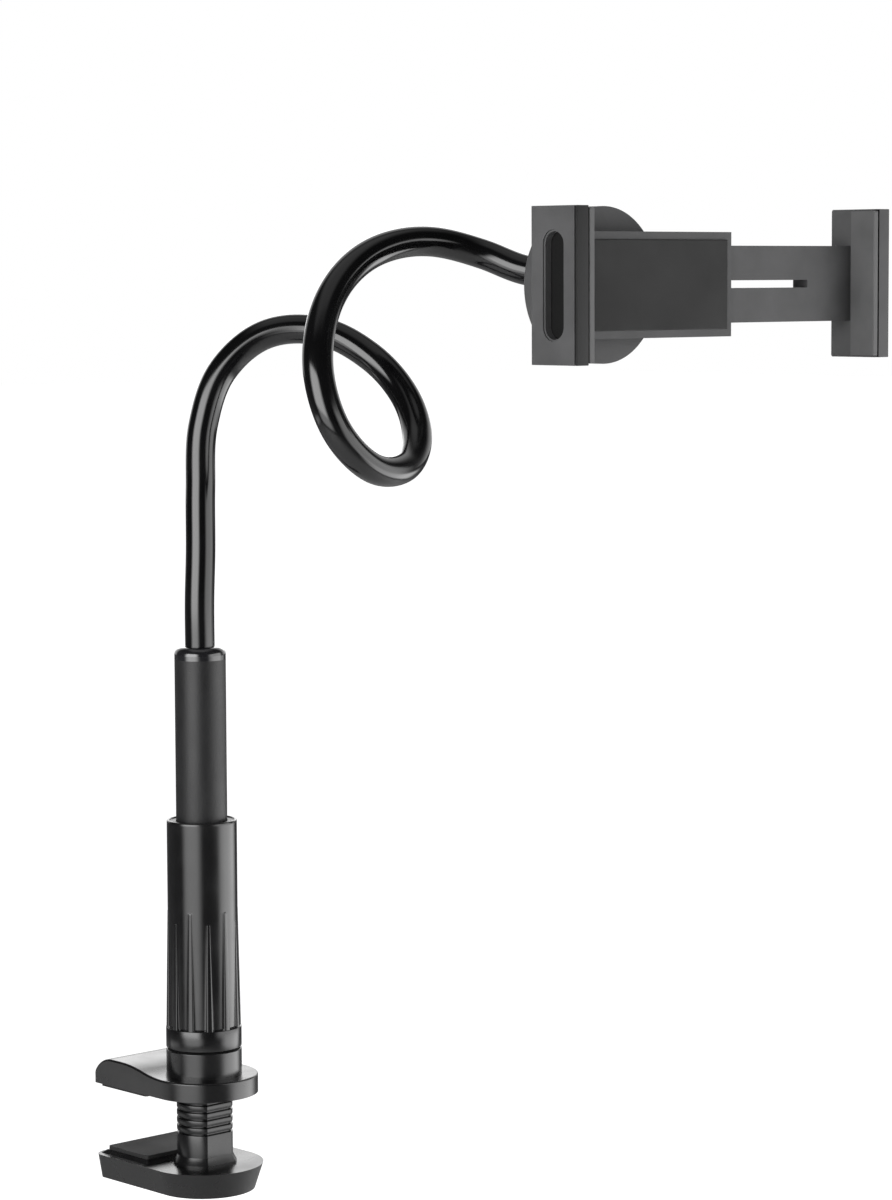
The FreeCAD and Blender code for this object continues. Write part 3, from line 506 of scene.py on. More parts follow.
@dataclass
class Neck:
    """The gooseneck's smooth skin, in five lengths cut a little before the joints."""

    shop: Workshop
    radius: float = 7.75 * MM
    cap: str = "sleeve_cap"
    root_depth: float = 3.0 * MM
    route_mm: tuple[Triple, ...] = (
        (0, 0, 22), (1.5, 0.5, 50), (3.5, 2.5, 83), (7, 4, 116), (17, -0.5, 144.5),
        (34.5, -14.5, 163), (53.5, -35, 165), (67.5, -59.5, 152), (71, -83, 131.5),
        (61, -103, 110), (38.5, -117, 96.5), (11.5, -123, 98), (-9, -121, 116),
        (-14.5, -113.5, 143), (-4.5, -104.5, 171), (17, -97, 193.5), (46, -94, 207.5),
        (76, -98, 211), (100.5, -111, 204.5), (111.5, -127, 197), (119.5, -144, 193),
    )
    knuckles: tuple[int, ...] = (0, 5, 10, 14)
    end_heading: Vector = field(
        default_factory=lambda: Vector((0.13, -0.96, -0.22)).normalized())
    bodies: tuple[str, ...] = ("post", "neck_1", "neck_2", "neck_3", "neck_4")
    reach: float = 16.0 * MM
    sides: int = 44
    step: float = 2.0 * MM
    least_steps: int = 3

    def _points(self) -> list[Vector]:
        """Place the route on the post.

        Returns:
            The route's points, with one under the cap's top before them.
        """
        cap_top = upright_axis(self.cap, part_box(self.cap)[1].z)
        return [cap_top - Z_AXIS * self.root_depth] + [cap_top + Vector(p) * MM
                                                       for p in self.route_mm]

    def _headings(self, points: list[Vector]) -> list[Vector]:
        """Direction of the neck at each point.

        Args:
            points: The route's points.

        Returns:
            One unit vector for each point.
        """
        headings = [Z_AXIS.copy()]
        for before, here, after in zip(points, points[1:], points[2:]):
            one, two = here - before, after - here
            both = one.normalized() * two.length + two.normalized() * one.length
            headings.append(both.normalized())
        headings.append(self.end_heading)
        return headings

    def _line(self) -> tuple[list[Vector], list[int]]:
        """Points close together along the neck's smooth line.

        Returns:
            The points, and for each route point its place in them.
        """
        points = self._points()
        headings = self._headings(points)
        line, marks = [points[0]], [0]
        for here, there, leave, arrive in zip(points, points[1:], headings, headings[1:]):
            third = (there - here).length / 3
            count = max(self.least_steps, round((there - here).length / self.step))
            for i in range(1, count + 1):
                t = i / count
                s = 1 - t
                line.append(here * s ** 3 + (here + leave * third) * (3 * s * s * t)
                            + (there - arrive * third) * (3 * s * t * t) + there * t ** 3)
            marks.append(len(line) - 1)
        return line, marks

    def build(self) -> None:
        """Make the five lengths of skin. The first goes with the post; the others are fixed in
        place.
        """
        line, marks = self._line()
        frames = carried_frames(line)
        back = round(self.reach / self.step)
        centres = [marks[k + 1] for k in self.knuckles]
        cuts = [0] + [max(1, c - back) for c in centres] + [len(line) - 1]
        for number, (first, last) in enumerate(zip(cuts, cuts[1:])):
            tube = swept_tube(frames[first:last + 1], self.radius, self.sides)
            skin = self.shop.piece(f"neck_skin_{number}", tube, NECK_SKIN)
            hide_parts(f"neck_sheath_{number}")
            if number == 0:
                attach(skin, self.bodies[0])
                continue
            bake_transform(skin)


@dataclass
class HandleGrip:
    """Turning handle: a thin tube with tapered ribs that grow out of the ring at its foot."""

    shop: Workshop
    node: str = "handle_grip"
    body_radius: float = 18.5 * MM
    bore_radius: float = 17.05 * MM
    foot_bore_radius: float = 18.9 * MM
    foot_bore_depth: float = 5.4 * MM
    ring_height: float = 11.0 * MM
    ring_round: float = 0.6 * MM
    ledge_groove: float = 0.35 * MM
    rim_round: float = 0.8 * MM
    rim_chamfer: float = 0.45 * MM
    rib_count: int = 12
    rib_long: float = 62.0 * MM
    rib_short: float = 56.0 * MM
    rib_foot_half: float = 1.85 * MM
    rib_foot_shy: float = 0.12 * MM
    rib_tip_half: float = 0.85 * MM
    rib_tip_proud: float = 0.25 * MM
    rib_tip_least: float = 0.35
    rib_tip_rows: tuple[float, ...] = (0.0, 0.4, 0.7, 0.87, 0.97, 1.0)
    flank: tuple[Pair, ...] = (
        (-1.2, 0.0), (-1.0, 0.12), (-0.93, 0.6), (-0.8, 0.9), (-0.5, 1.0), (0.0, 1.03),
        (0.5, 1.0), (0.8, 0.9), (0.93, 0.6), (1.0, 0.12), (1.2, 0.0),
    )
    round_deg: tuple[float, ...] = (30, 60, 90)
    ledge_deg: tuple[float, ...] = (0, 45, 90)
    row_step: float = 1.0 * MM
    band_columns: int = 6
    turn_slack: float = 0.02
    sharp_deg: float = 50.0
    axis: Vector = field(init=False)
    foot: float = field(init=False)
    top: float = field(init=False)
    ring_radius: float = field(init=False)
    ring_top: float = field(init=False)

    def __post_init__(self) -> None:
        """Take the place and the outer sizes from the solid."""
        low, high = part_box(self.node)
        self.axis = upright_axis(self.node)
        self.foot, self.top = low.z, high.z
        self.ring_radius = (high.x - low.x) / 2
        self.ring_top = self.foot + self.ring_height

    def _rib_size(self, over: float, length: float) -> Pair:
        """Half width and height of a rib.

        Args:
            over: Height over the ring's top.
            length: The rib's length up to its round tip.

        Returns:
            Half width and how far it stands out.
        """
        share = min(1.0, over / length)
        half = self.rib_foot_half + (self.rib_tip_half - self.rib_foot_half) * share
        foot_proud = self.ring_radius - self.rib_foot_shy - self.body_radius
        proud = foot_proud + (self.rib_tip_proud - foot_proud) * share
        past = (over - length) / self.rib_tip_half
        if past > 0:
            left = math.sqrt(max(0.0, 1 - past * past))
            return self.rib_tip_half * max(self.rib_tip_least, left), proud * left
        return half, proud

    def _rows(self) -> list[float]:
        """Heights of the rows of points on the ribbed skin.

        Returns:
            Heights over the ring's top, from the lowest up.
        """
        reach = self.top - self.rim_round - self.ring_top
        rows = {0.0, self.ledge_groove, 2 * self.ledge_groove, reach}
        count = round(reach / self.row_step)
        rows.update(reach * i / count for i in range(1, count))
        for length in (self.rib_long, self.rib_short):
            rows.update(length + self.rib_tip_half * part for part in self.rib_tip_rows)
        return sorted(rows)

    def _columns(self, over: float) -> list[Pair]:
        """Points of one row, all the way round.

        Args:
            over: Height over the ring's top.

        Returns:
            Angle and radius of each point.
        """
        grooved = self.ledge_groove / 2 < over < 2 * self.ledge_groove - TINY
        dip = self.ledge_groove if grooved else 0.0
        pitch = 2 * math.pi / self.rib_count
        wide = self.flank[-1][0]
        points = []
        for i in range(self.rib_count):
            length = self.rib_long if i % 2 else self.rib_short
            half, proud = self._rib_size(over, length)
            for place, height in self.flank:
                rise = -dip if height == 0.0 else proud * height
                angle = i * pitch + place * half / self.body_radius
                points.append((angle, self.body_radius + rise))
            low = i * pitch + wide * half / self.body_radius
            other = self.rib_short if i % 2 else self.rib_long
            high = (i + 1) * pitch - wide * self._rib_size(over, other)[0] / self.body_radius
            for k in range(1, self.band_columns):
                angle = low + (high - low) * k / self.band_columns
                points.append((angle, self.body_radius - dip))
        return points

    def _turn_from(self, first_angle: float, vert: bmesh.types.BMVert) -> float:
        """How far round the axis a vertex stands from the angle given."""
        angle = math.atan2(vert.co.y - self.axis.y, vert.co.x - self.axis.x)
        return (angle - first_angle + self.turn_slack) % (2 * math.pi)

    def _lay(self, verts: Verts, first_angle: float, columns: list[Pair], z: float) -> None:
        """Move one ring of points to its places, in their order round the axis.

        Args:
            verts: The ring's vertices, standing where the ring before it stands.
            first_angle: Where the ring before it starts.
            columns: Angle and radius of each place.
            z: The ring's height.
        """
        in_order = sorted(verts, key=lambda vert: self._turn_from(first_angle, vert))
        for vert, (angle, radius) in zip(in_order, columns):
            vert.co = self.axis + Vector((radius * math.cos(angle), radius * math.sin(angle), z))

    def _profile(self) -> list[tuple[list[Pair], float]]:
        """Every ring of the handle, from the foot's bore up the outside and down the inside.

        Returns:
            For each ring its angles and radii, and its height.
        """
        angles = [angle for angle, _ in self._columns(0.0)]
        soft = self.ring_round
        edge = soft / 2
        rows = [(even_ring(angles, self.foot_bore_radius), self.foot),
                (even_ring(angles, self.ring_radius - soft), self.foot)]
        for up, out in quarter_round(self.round_deg):
            radius = self.ring_radius - soft + soft * out
            rows.append((even_ring(angles, radius), self.foot + soft * up))
        for back, up in quarter_round(self.ledge_deg):
            radius = self.ring_radius - edge * back
            rows.append((even_ring(angles, radius), self.ring_top - edge + edge * up))
        rows += [(self._columns(over), self.ring_top + over) for over in self._rows()]
        last = [angle for angle, _ in rows[-1][0]]
        for back, up in quarter_round(self.round_deg):
            radius = self.body_radius - self.rim_round * back
            rows.append((even_ring(last, radius), self.top - self.rim_round * (1 - up)))
        web = self.foot + self.foot_bore_depth
        rows += [(even_ring(last, self.bore_radius + self.rim_chamfer), self.top),
                 (even_ring(last, self.bore_radius), self.top - self.rim_chamfer),
                 (even_ring(last, self.bore_radius), web),
                 (even_ring(angles, self.foot_bore_radius), web)]
        return rows

    def build(self) -> None:
        """Make the handle's skin, its foot ring and its rim."""
        mesh = bmesh.new()
        rows = self._profile()
        columns, z = rows[0]
        start = columns[0][0]
        bmesh.ops.create_circle(mesh, segments=len(columns), radius=self.foot_bore_radius,
                                matrix=Matrix.Translation(self.axis))
        verts = list(mesh.verts)
        for vert in verts:
            vert.co.xy = self.axis.xy + Matrix.Rotation(start, 2) @ (vert.co.xy - self.axis.xy)
        self._lay(verts, start, columns, z)
        first = edges = list(mesh.edges)
        for (before, _), (columns, z) in zip(rows, rows[1:]):
            verts, edges = grow(mesh, edges)
            self._lay(verts, before[0][0], columns, z)
        bmesh.ops.bridge_loops(mesh, edges=first + edges)
        skin = self.shop.piece("ribbed_handle", mesh, HANDLE_PLASTIC, self.sharp_deg)
        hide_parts(self.node)
        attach(skin, "handle")


@dataclass
class ScrewedStem:
    """Screwed bar with two flats: a flared foot, a smooth length, and ridges up to its top."""

    shop: Workshop
    node: str = "clamp_stem"
    radius: float = 14.8 * MM
    flat: float = 12.3 * MM
    tenon_radius: float = 10.0 * MM
    tenon_depth: float = 8.0 * MM
    screw_bore: float = 3.1 * MM
    screw_bore_depth: float = 16.7 * MM
    foot_out: float = 2.0 * MM
    foot_rim: float = 1.2 * MM
    foot_height: float = 5.0 * MM
    foot_curve: float = 1.15
    foot_steps: int = 4
    ridge_foot: float = 17.0 * MM
    pitch: float = 4.0 * MM
    groove_half: float = 0.5 * MM
    groove_depth: float = 1.6 * MM
    groove_floor: float = 0.8
    ridge_round: float = 0.5 * MM
    ridge_ease: Pair = (0.4, 0.2)
    tube_bore: float = 9.1 * MM
    tube_bore_depth: float = 20.0 * MM
    arc_sides: int = 20
    flat_sides: int = 6
    sharp_deg: float = 20.0
    axis: Vector = field(init=False)
    top: float = field(init=False)

    def __post_init__(self) -> None:
        """Take the place and the height from the solid."""
        low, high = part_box(self.node)
        self.axis = upright_axis(self.node, low.z + self.tenon_depth)
        self.top = high.z - self.axis.z

    def _angles(self) -> list[float]:
        """Angles at which every ring has its points.

        Returns:
            Angles that lie evenly along the bar's arcs and flats.
        """
        corner = math.asin(self.flat / self.radius)
        half = self.radius * math.cos(corner)
        angles = []
        for side in (0.0, math.pi):
            angles += [side - corner + 2 * corner * i / self.arc_sides
                       for i in range(self.arc_sides)]
            angles += [side + math.atan2(self.flat, half - 2 * half * i / self.flat_sides)
                       for i in range(self.flat_sides)]
        return [math.atan2(math.sin(a), math.cos(a)) for a in angles]

    def _grooves(self) -> list[Pair]:
        """Rows of the ridges, from the lowest groove up.

        Returns:
            How far in each row lies, and its height over the foot.
        """
        soft, half = self.ridge_round, self.groove_half
        along, inward = (share * soft for share in self.ridge_ease)
        upper = [(self.groove_floor * half, self.groove_depth), (half, soft),
                 (half + along, inward), (half + soft, 0.0)]
        profile = [(-up, inset) for up, inset in reversed(upper)] + upper
        count = int((self.top - self.ridge_foot) / self.pitch)
        middles = [self.ridge_foot + half + i * self.pitch for i in range(count)]
        return [(inset, middle + up) for middle in middles for up, inset in profile]

    def _rows(self) -> list[Triple]:
        """Every ring, from the screw's hole round the outside to the bottom of the top bore.

        Returns:
            Radius, distance to the flats, and height over the foot of each ring.
        """
        outline = [(-self.foot_out, 0.0)]
        for i in range(self.foot_steps + 1):
            share = i / self.foot_steps
            outline.append((-self.foot_out * (1 - share) ** self.foot_curve,
                            self.foot_rim + (self.foot_height - self.foot_rim) * share))
        outline += self._grooves()
        outline += [(0.0, self.top - self.ridge_round), (self.ridge_round, self.top)]
        return [
            (self.screw_bore, math.inf, self.screw_bore_depth - self.tenon_depth),
            (self.screw_bore, math.inf, -self.tenon_depth),
            (self.tenon_radius, math.inf, -self.tenon_depth),
            (self.tenon_radius, math.inf, 0.0),
            *((self.radius - inset, self.flat - inset, z) for inset, z in outline),
            (self.tube_bore, math.inf, self.top),
            (self.tube_bore, math.inf, self.top - self.tube_bore_depth),
        ]

    def _lay(self, verts: Verts, row: Triple) -> None:
        """Move one ring out or in along its own directions.

        Args:
            verts: The ring's vertices, round the Z axis.
            row: Radius, distance to the flats, and height.
        """
        radius, flat, z = row
        for vert in verts:
            way = vert.co.xy.normalized()
            reach = min(radius, flat / max(abs(way.y), TINY))
            vert.co = Vector((way.x * reach, way.y * reach, z))

    def build(self) -> None:
        """Make the stem with its ridges and both bores."""
        mesh = bmesh.new()
        first, *others = self._rows()
        angles = sorted(self._angles())
        made = bmesh.ops.create_circle(mesh, segments=len(angles), radius=self.radius)["verts"]
        in_order = sorted(made, key=lambda vert: math.atan2(vert.co.y, vert.co.x))
        for vert, angle in zip(in_order, angles):
            vert.co = Vector((math.cos(angle), math.sin(angle), 0))
        self._lay(made, first)
        edges = list(mesh.edges)
        bmesh.ops.contextual_create(mesh, geom=edges)
        for row in others:
            verts, edges = grow(mesh, edges)
            self._lay(verts, row)
        bmesh.ops.contextual_create(mesh, geom=edges)
        bmesh.ops.translate(mesh, verts=mesh.verts, vec=self.axis)
        bar = self.shop.piece("ridged_stem", mesh, SHADED_FOOT_PLASTIC, self.sharp_deg)
        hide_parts(self.node)
        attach(bar, "post")


@dataclass
class GripPlate:
    """Front plate of one jaw, with seams towards the jaw behind it and the pad beside it, their
    faces painted near black as painted shade.
    """

    shop: Workshop
    node: str
    body: str
    finish: Finish
    pad_side: int
    pad_gap: float = 0.8 * MM
    edge: float = 0.3 * MM
    edge_steps: int = 3
    seam_width: float = 0.75 * MM
    seam_depth: float = 0.9 * MM
    seam_slack: float = 0.03 * MM
    pad_facing: float = 0.9
    sharp_deg: float = 60.0

    def _block(self, low: Vector, high: Vector) -> Mesh:
        """Make a block with rounded edges.

        Args:
            low: Its lowest corner.
            high: Its highest corner.

        Returns:
            The block.
        """
        size = high - low
        place = Matrix.Translation((low + high) / 2) @ Matrix.Diagonal((*size, 1.0))
        mesh = bmesh.new()
        bmesh.ops.create_cube(mesh, size=1.0, matrix=place)
        bmesh.ops.bevel(mesh, geom=list(mesh.edges), offset=self.edge, segments=self.edge_steps,
                        profile=0.5, affect="EDGES", material=-1)
        return mesh

    def _set_seam(self, mesh: Mesh) -> None:
        """Carry the block's back on to the jaw, set in all round by the seam's depth.

        Args:
            mesh: The block.
        """
        rear = max(mesh.faces, key=lambda face: face.calc_center_median().y)
        bmesh.ops.inset_individual(mesh, faces=[rear], thickness=self.seam_depth)
        rim = list(rear.edges)
        bmesh.ops.delete(mesh, geom=[rear], context="FACES_ONLY")
        verts, edges = grow(mesh, rim)
        bmesh.ops.translate(mesh, verts=verts, vec=Y_AXIS * self.seam_width)
        bmesh.ops.contextual_create(mesh, geom=edges)

    def build(self) -> None:
        """Make the plate."""
        low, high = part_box(self.node)
        if self.pad_side > 0:
            high = high - X_AXIS * self.pad_gap
        else:
            low = low + X_AXIS * self.pad_gap
        back = high - Y_AXIS * self.seam_width
        mesh = self._block(low, back)
        self._set_seam(mesh)
        mesh.normal_update()
        # The plate's back and its side by the pad get the near-black second material: painted
        # shade in the seams.
        for face in mesh.faces:
            behind = face.calc_center_median().y > back.y - self.seam_slack
            beside = face.normal.x * self.pad_side > self.pad_facing
            face.material_index = int(behind or beside)
        plate = self.shop.piece(f"rounded_{self.node}", mesh, self.finish, self.sharp_deg)
        plate.data.materials.append(self.shop.material(PAINTED_SEAM_SHADE))
        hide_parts(self.node)
        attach(plate, self.body)


@dataclass
class SeatShell:
    """Outer seat shell of the ball. The stud clears its mouth when tilt and pan add up."""

    shop: Workshop
    node: str = "ball_seat_outer"
    thick: float = 1.2 * MM
    mouth_deg: float = 69.0
    sides: int = 56
    rings: int = 36

    def build(self) -> None:
        """Cut a ball open, give it its wall and let it turn with its joint."""
        low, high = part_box(self.node)
        outer = (high.x - low.x) / 2
        centre = Vector(((low.x + high.x) / 2, low.y + outer, (low.z + high.z) / 2))
        place = Matrix.Translation(centre) @ Matrix.Rotation(math.pi / 2, 4, "X")
        mesh = bmesh.new()
        bmesh.ops.create_uvsphere(mesh, u_segments=self.sides, v_segments=self.rings,
                                  radius=outer, matrix=place)
        mouth = centre + Y_AXIS * outer * math.cos(math.radians(self.mouth_deg))
        bmesh.ops.bisect_plane(mesh, geom=[*mesh.verts, *mesh.edges, *mesh.faces],
                               plane_co=mouth, plane_no=Y_AXIS, clear_outer=True)
        bmesh.ops.recalc_face_normals(mesh, faces=mesh.faces)
        face = mesh.faces[0]
        if face.normal.dot(face.calc_center_median() - centre) < 0:
            bmesh.ops.reverse_faces(mesh, faces=mesh.faces)
        bmesh.ops.solidify(mesh, geom=list(mesh.faces), thickness=self.thick)
        shell = self.shop.piece("outer_seat_shell", mesh, ACETAL)
        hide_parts(self.node)
        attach(shell, "seat_pan")


@dataclass
class TensionSprings:
    """Two coil springs that pull the sliding jaw in, hooked on pins at both ends."""

    shop: Workshop
    node: str = "tension_springs"
    wire: float = 0.35 * MM
    wire_sides: int = 5
    turns: int = 44
    steps_a_turn: int = 10
    hook_radius: float = 1.95 * MM
    hook_reach: float = 1.6 * MM
    hook_steps: int = 20

    def _coil(self, mesh: Mesh, start: Vector, length: float, radius: float) -> None:
        """Wind one coil along X.

        Args:
            mesh: Mesh that gets the coil.
            start: Middle of the coil's first turn.
            length: From its first turn to its last.
            radius: To the middle of the wire.
        """
        steps = self.turns * self.steps_a_turn
        place = Matrix.Translation(start + Y_AXIS * radius)
        made = bmesh.ops.create_circle(mesh, segments=self.wire_sides, radius=self.wire,
                                       matrix=place)
        edges = loop_of(made["verts"])
        bmesh.ops.contextual_create(mesh, geom=edges)
        last = bmesh.ops.spin(mesh, geom=edges, cent=start, axis=X_AXIS,
                              dvec=X_AXIS * (length / steps), angle=2 * math.pi * self.turns,
                              steps=steps)["geom_last"]
        end = [g for g in last if isinstance(g, bmesh.types.BMEdge)]
        bmesh.ops.contextual_create(mesh, geom=end)

    def _hook(self, mesh: Mesh, pin: Vector) -> None:
        """Bend one closed hook round a pin.

        Args:
            mesh: Mesh that gets the hook.
            pin: Middle of the pin.
        """
        place = Matrix.Translation(pin + X_AXIS * self.hook_radius)
        made = bmesh.ops.create_circle(mesh, segments=self.wire_sides, radius=self.wire,
                                       matrix=place)
        bmesh.ops.spin(mesh, geom=loop_of(made["verts"]), cent=pin, axis=Y_AXIS,
                       angle=2 * math.pi, steps=self.hook_steps, use_merge=True)

    def build(self) -> None:
        """Make both springs as one piece, fixed in place."""
        low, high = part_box(self.node)
        radius = (high.y - low.y) / 2
        middle_y = (low.y + high.y) / 2
        mesh = bmesh.new()
        for z in (low.z + radius, high.z - radius):
            start = Vector((low.x + self.wire, middle_y, z))
            self._coil(mesh, start, high.x - low.x - 2 * self.wire, radius - self.wire)
            for x in (low.x - self.hook_reach, high.x + self.hook_reach):
                self._hook(mesh, Vector((x, middle_y, z)))
        coils = self.shop.piece("coil_springs", mesh, STEEL)
        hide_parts(self.node)
        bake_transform(coils)


@dataclass
class CrossScrews:
    """Screws of one node, with rounded heads and a tapered cross in each."""

    shop: Workshop
    node: str
    body: str
    drive: Vector
    head_radius: float
    head_height: float
    shank_radius: float
    head_round: float = 0.3 * MM
    head_ease: float = 0.3
    tip_share: float = 0.25
    cross_long: float = 0.62
    cross_half: float = 0.17
    cross_depth: float = 0.7
    cross_taper: float = 0.5
    sides: int = 24
    place_digits: int = 5

    def _places(self) -> list[Vector]:
        """Middles of the heads' outer faces, taken from the solid.

        Returns:
            One point for each screw.
        """
        low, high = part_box(self.node)
        along = max(range(3), key=lambda k: abs(self.drive[k]))
        choices = []
        for k in range(3):
            if k == along:
                choices.append([low[k] if self.drive[k] > 0 else high[k]])
                continue
            rows = (low[k] + self.head_radius, high[k] - self.head_radius)
            choices.append(sorted({round(row, self.place_digits) for row in rows}))
        return [Vector(spot) for spot in product(*choices)]

    def _length(self) -> float:
        """Length of a screw, head and all."""
        low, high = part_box(self.node)
        return abs((high - low).dot(self.drive))

    def _step(self, mesh: Mesh, edges: Edges, radius: float, depth: float) -> Edges:
        """Carry a ring on to another radius and depth.

        Args:
            mesh: The screw's mesh.
            edges: The ring's edges.
            radius: New radius.
            depth: New depth under the head's face.

        Returns:
            The new ring's edges.
        """
        verts, edges = grow(mesh, edges)
        for vert in verts:
            vert.co.xy = vert.co.xy.normalized() * radius
            vert.co.z = -depth
        return edges

    def _cut_cross(self, mesh: Mesh, rim: Edges) -> None:
        """Close the head's face, with a cross sunk in it.

        Args:
            mesh: The screw's mesh.
            rim: Edges round the head's flat face.
        """
        cross = bmesh.ops.create_circle(mesh, segments=self.sides,
                                        radius=self.head_radius / 2)["verts"]
        for vert in cross:
            way = vert.co.xy.normalized()
            narrow, wide = sorted((abs(way.x), abs(way.y)))
            reach = min(self.cross_long / wide, self.cross_half / max(narrow, TINY))
            vert.co.xy = way * self.head_radius * reach
        mouth = loop_of(cross)
        bmesh.ops.bridge_loops(mesh, edges=rim + mouth)
        floor, edges = grow(mesh, mouth)
        bmesh.ops.scale(mesh, verts=floor, vec=(self.cross_taper, self.cross_taper, 1.0))
        bmesh.ops.translate(mesh, verts=floor, vec=Z_AXIS * (-self.cross_depth * self.head_height))
        bmesh.ops.contextual_create(mesh, geom=edges)

    def _one(self) -> Mesh:
        """Make one screw that points down, its head's face at nought.

        Returns:
            The screw.
        """
        mesh = bmesh.new()
        reach = self._length()
        bmesh.ops.create_circle(mesh, segments=self.sides,
                                radius=self.head_radius - self.head_round)
        rim = list(mesh.edges)
        self._cut_cross(mesh, rim)
        ease = self.head_ease * self.head_round
        for radius, depth in ((self.head_radius - ease, ease),
                              (self.head_radius, self.head_round),
                              (self.head_radius, self.head_height),
                              (self.shank_radius, self.head_height),
                              (self.shank_radius, reach - self.shank_radius),
                              (self.shank_radius * self.tip_share, reach)):
            rim = self._step(mesh, rim, radius, depth)
        bmesh.ops.contextual_create(mesh, geom=rim)
        return mesh

    def build(self) -> None:
        """Make the screws as one piece."""
        turn = (-Z_AXIS).rotation_difference(self.drive).to_matrix().to_4x4()
        whole = bmesh.new()
        for place in self._places():
            screw = self._one()
            screw.transform(Matrix.Translation(place) @ turn)
            data = bpy.data.meshes.new("screw")
            screw.to_mesh(data)
            screw.free()
            whole.from_mesh(data)
            bpy.data.meshes.remove(data)
        made = self.shop.piece(f"cross_{self.node}", whole, BLACK_STEEL)
        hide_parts(self.node)
        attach(made, self.body)


@dataclass(frozen=True)
class SoftBox:
    """One lamp: its place round the holder, its size, its brightness and its soft edges."""

    name: str
    turn_deg: float
    height: float
    distance: float
    size: Pair
    glow: float
    soft: Pair
    aim_height: float
    in_view: bool = True


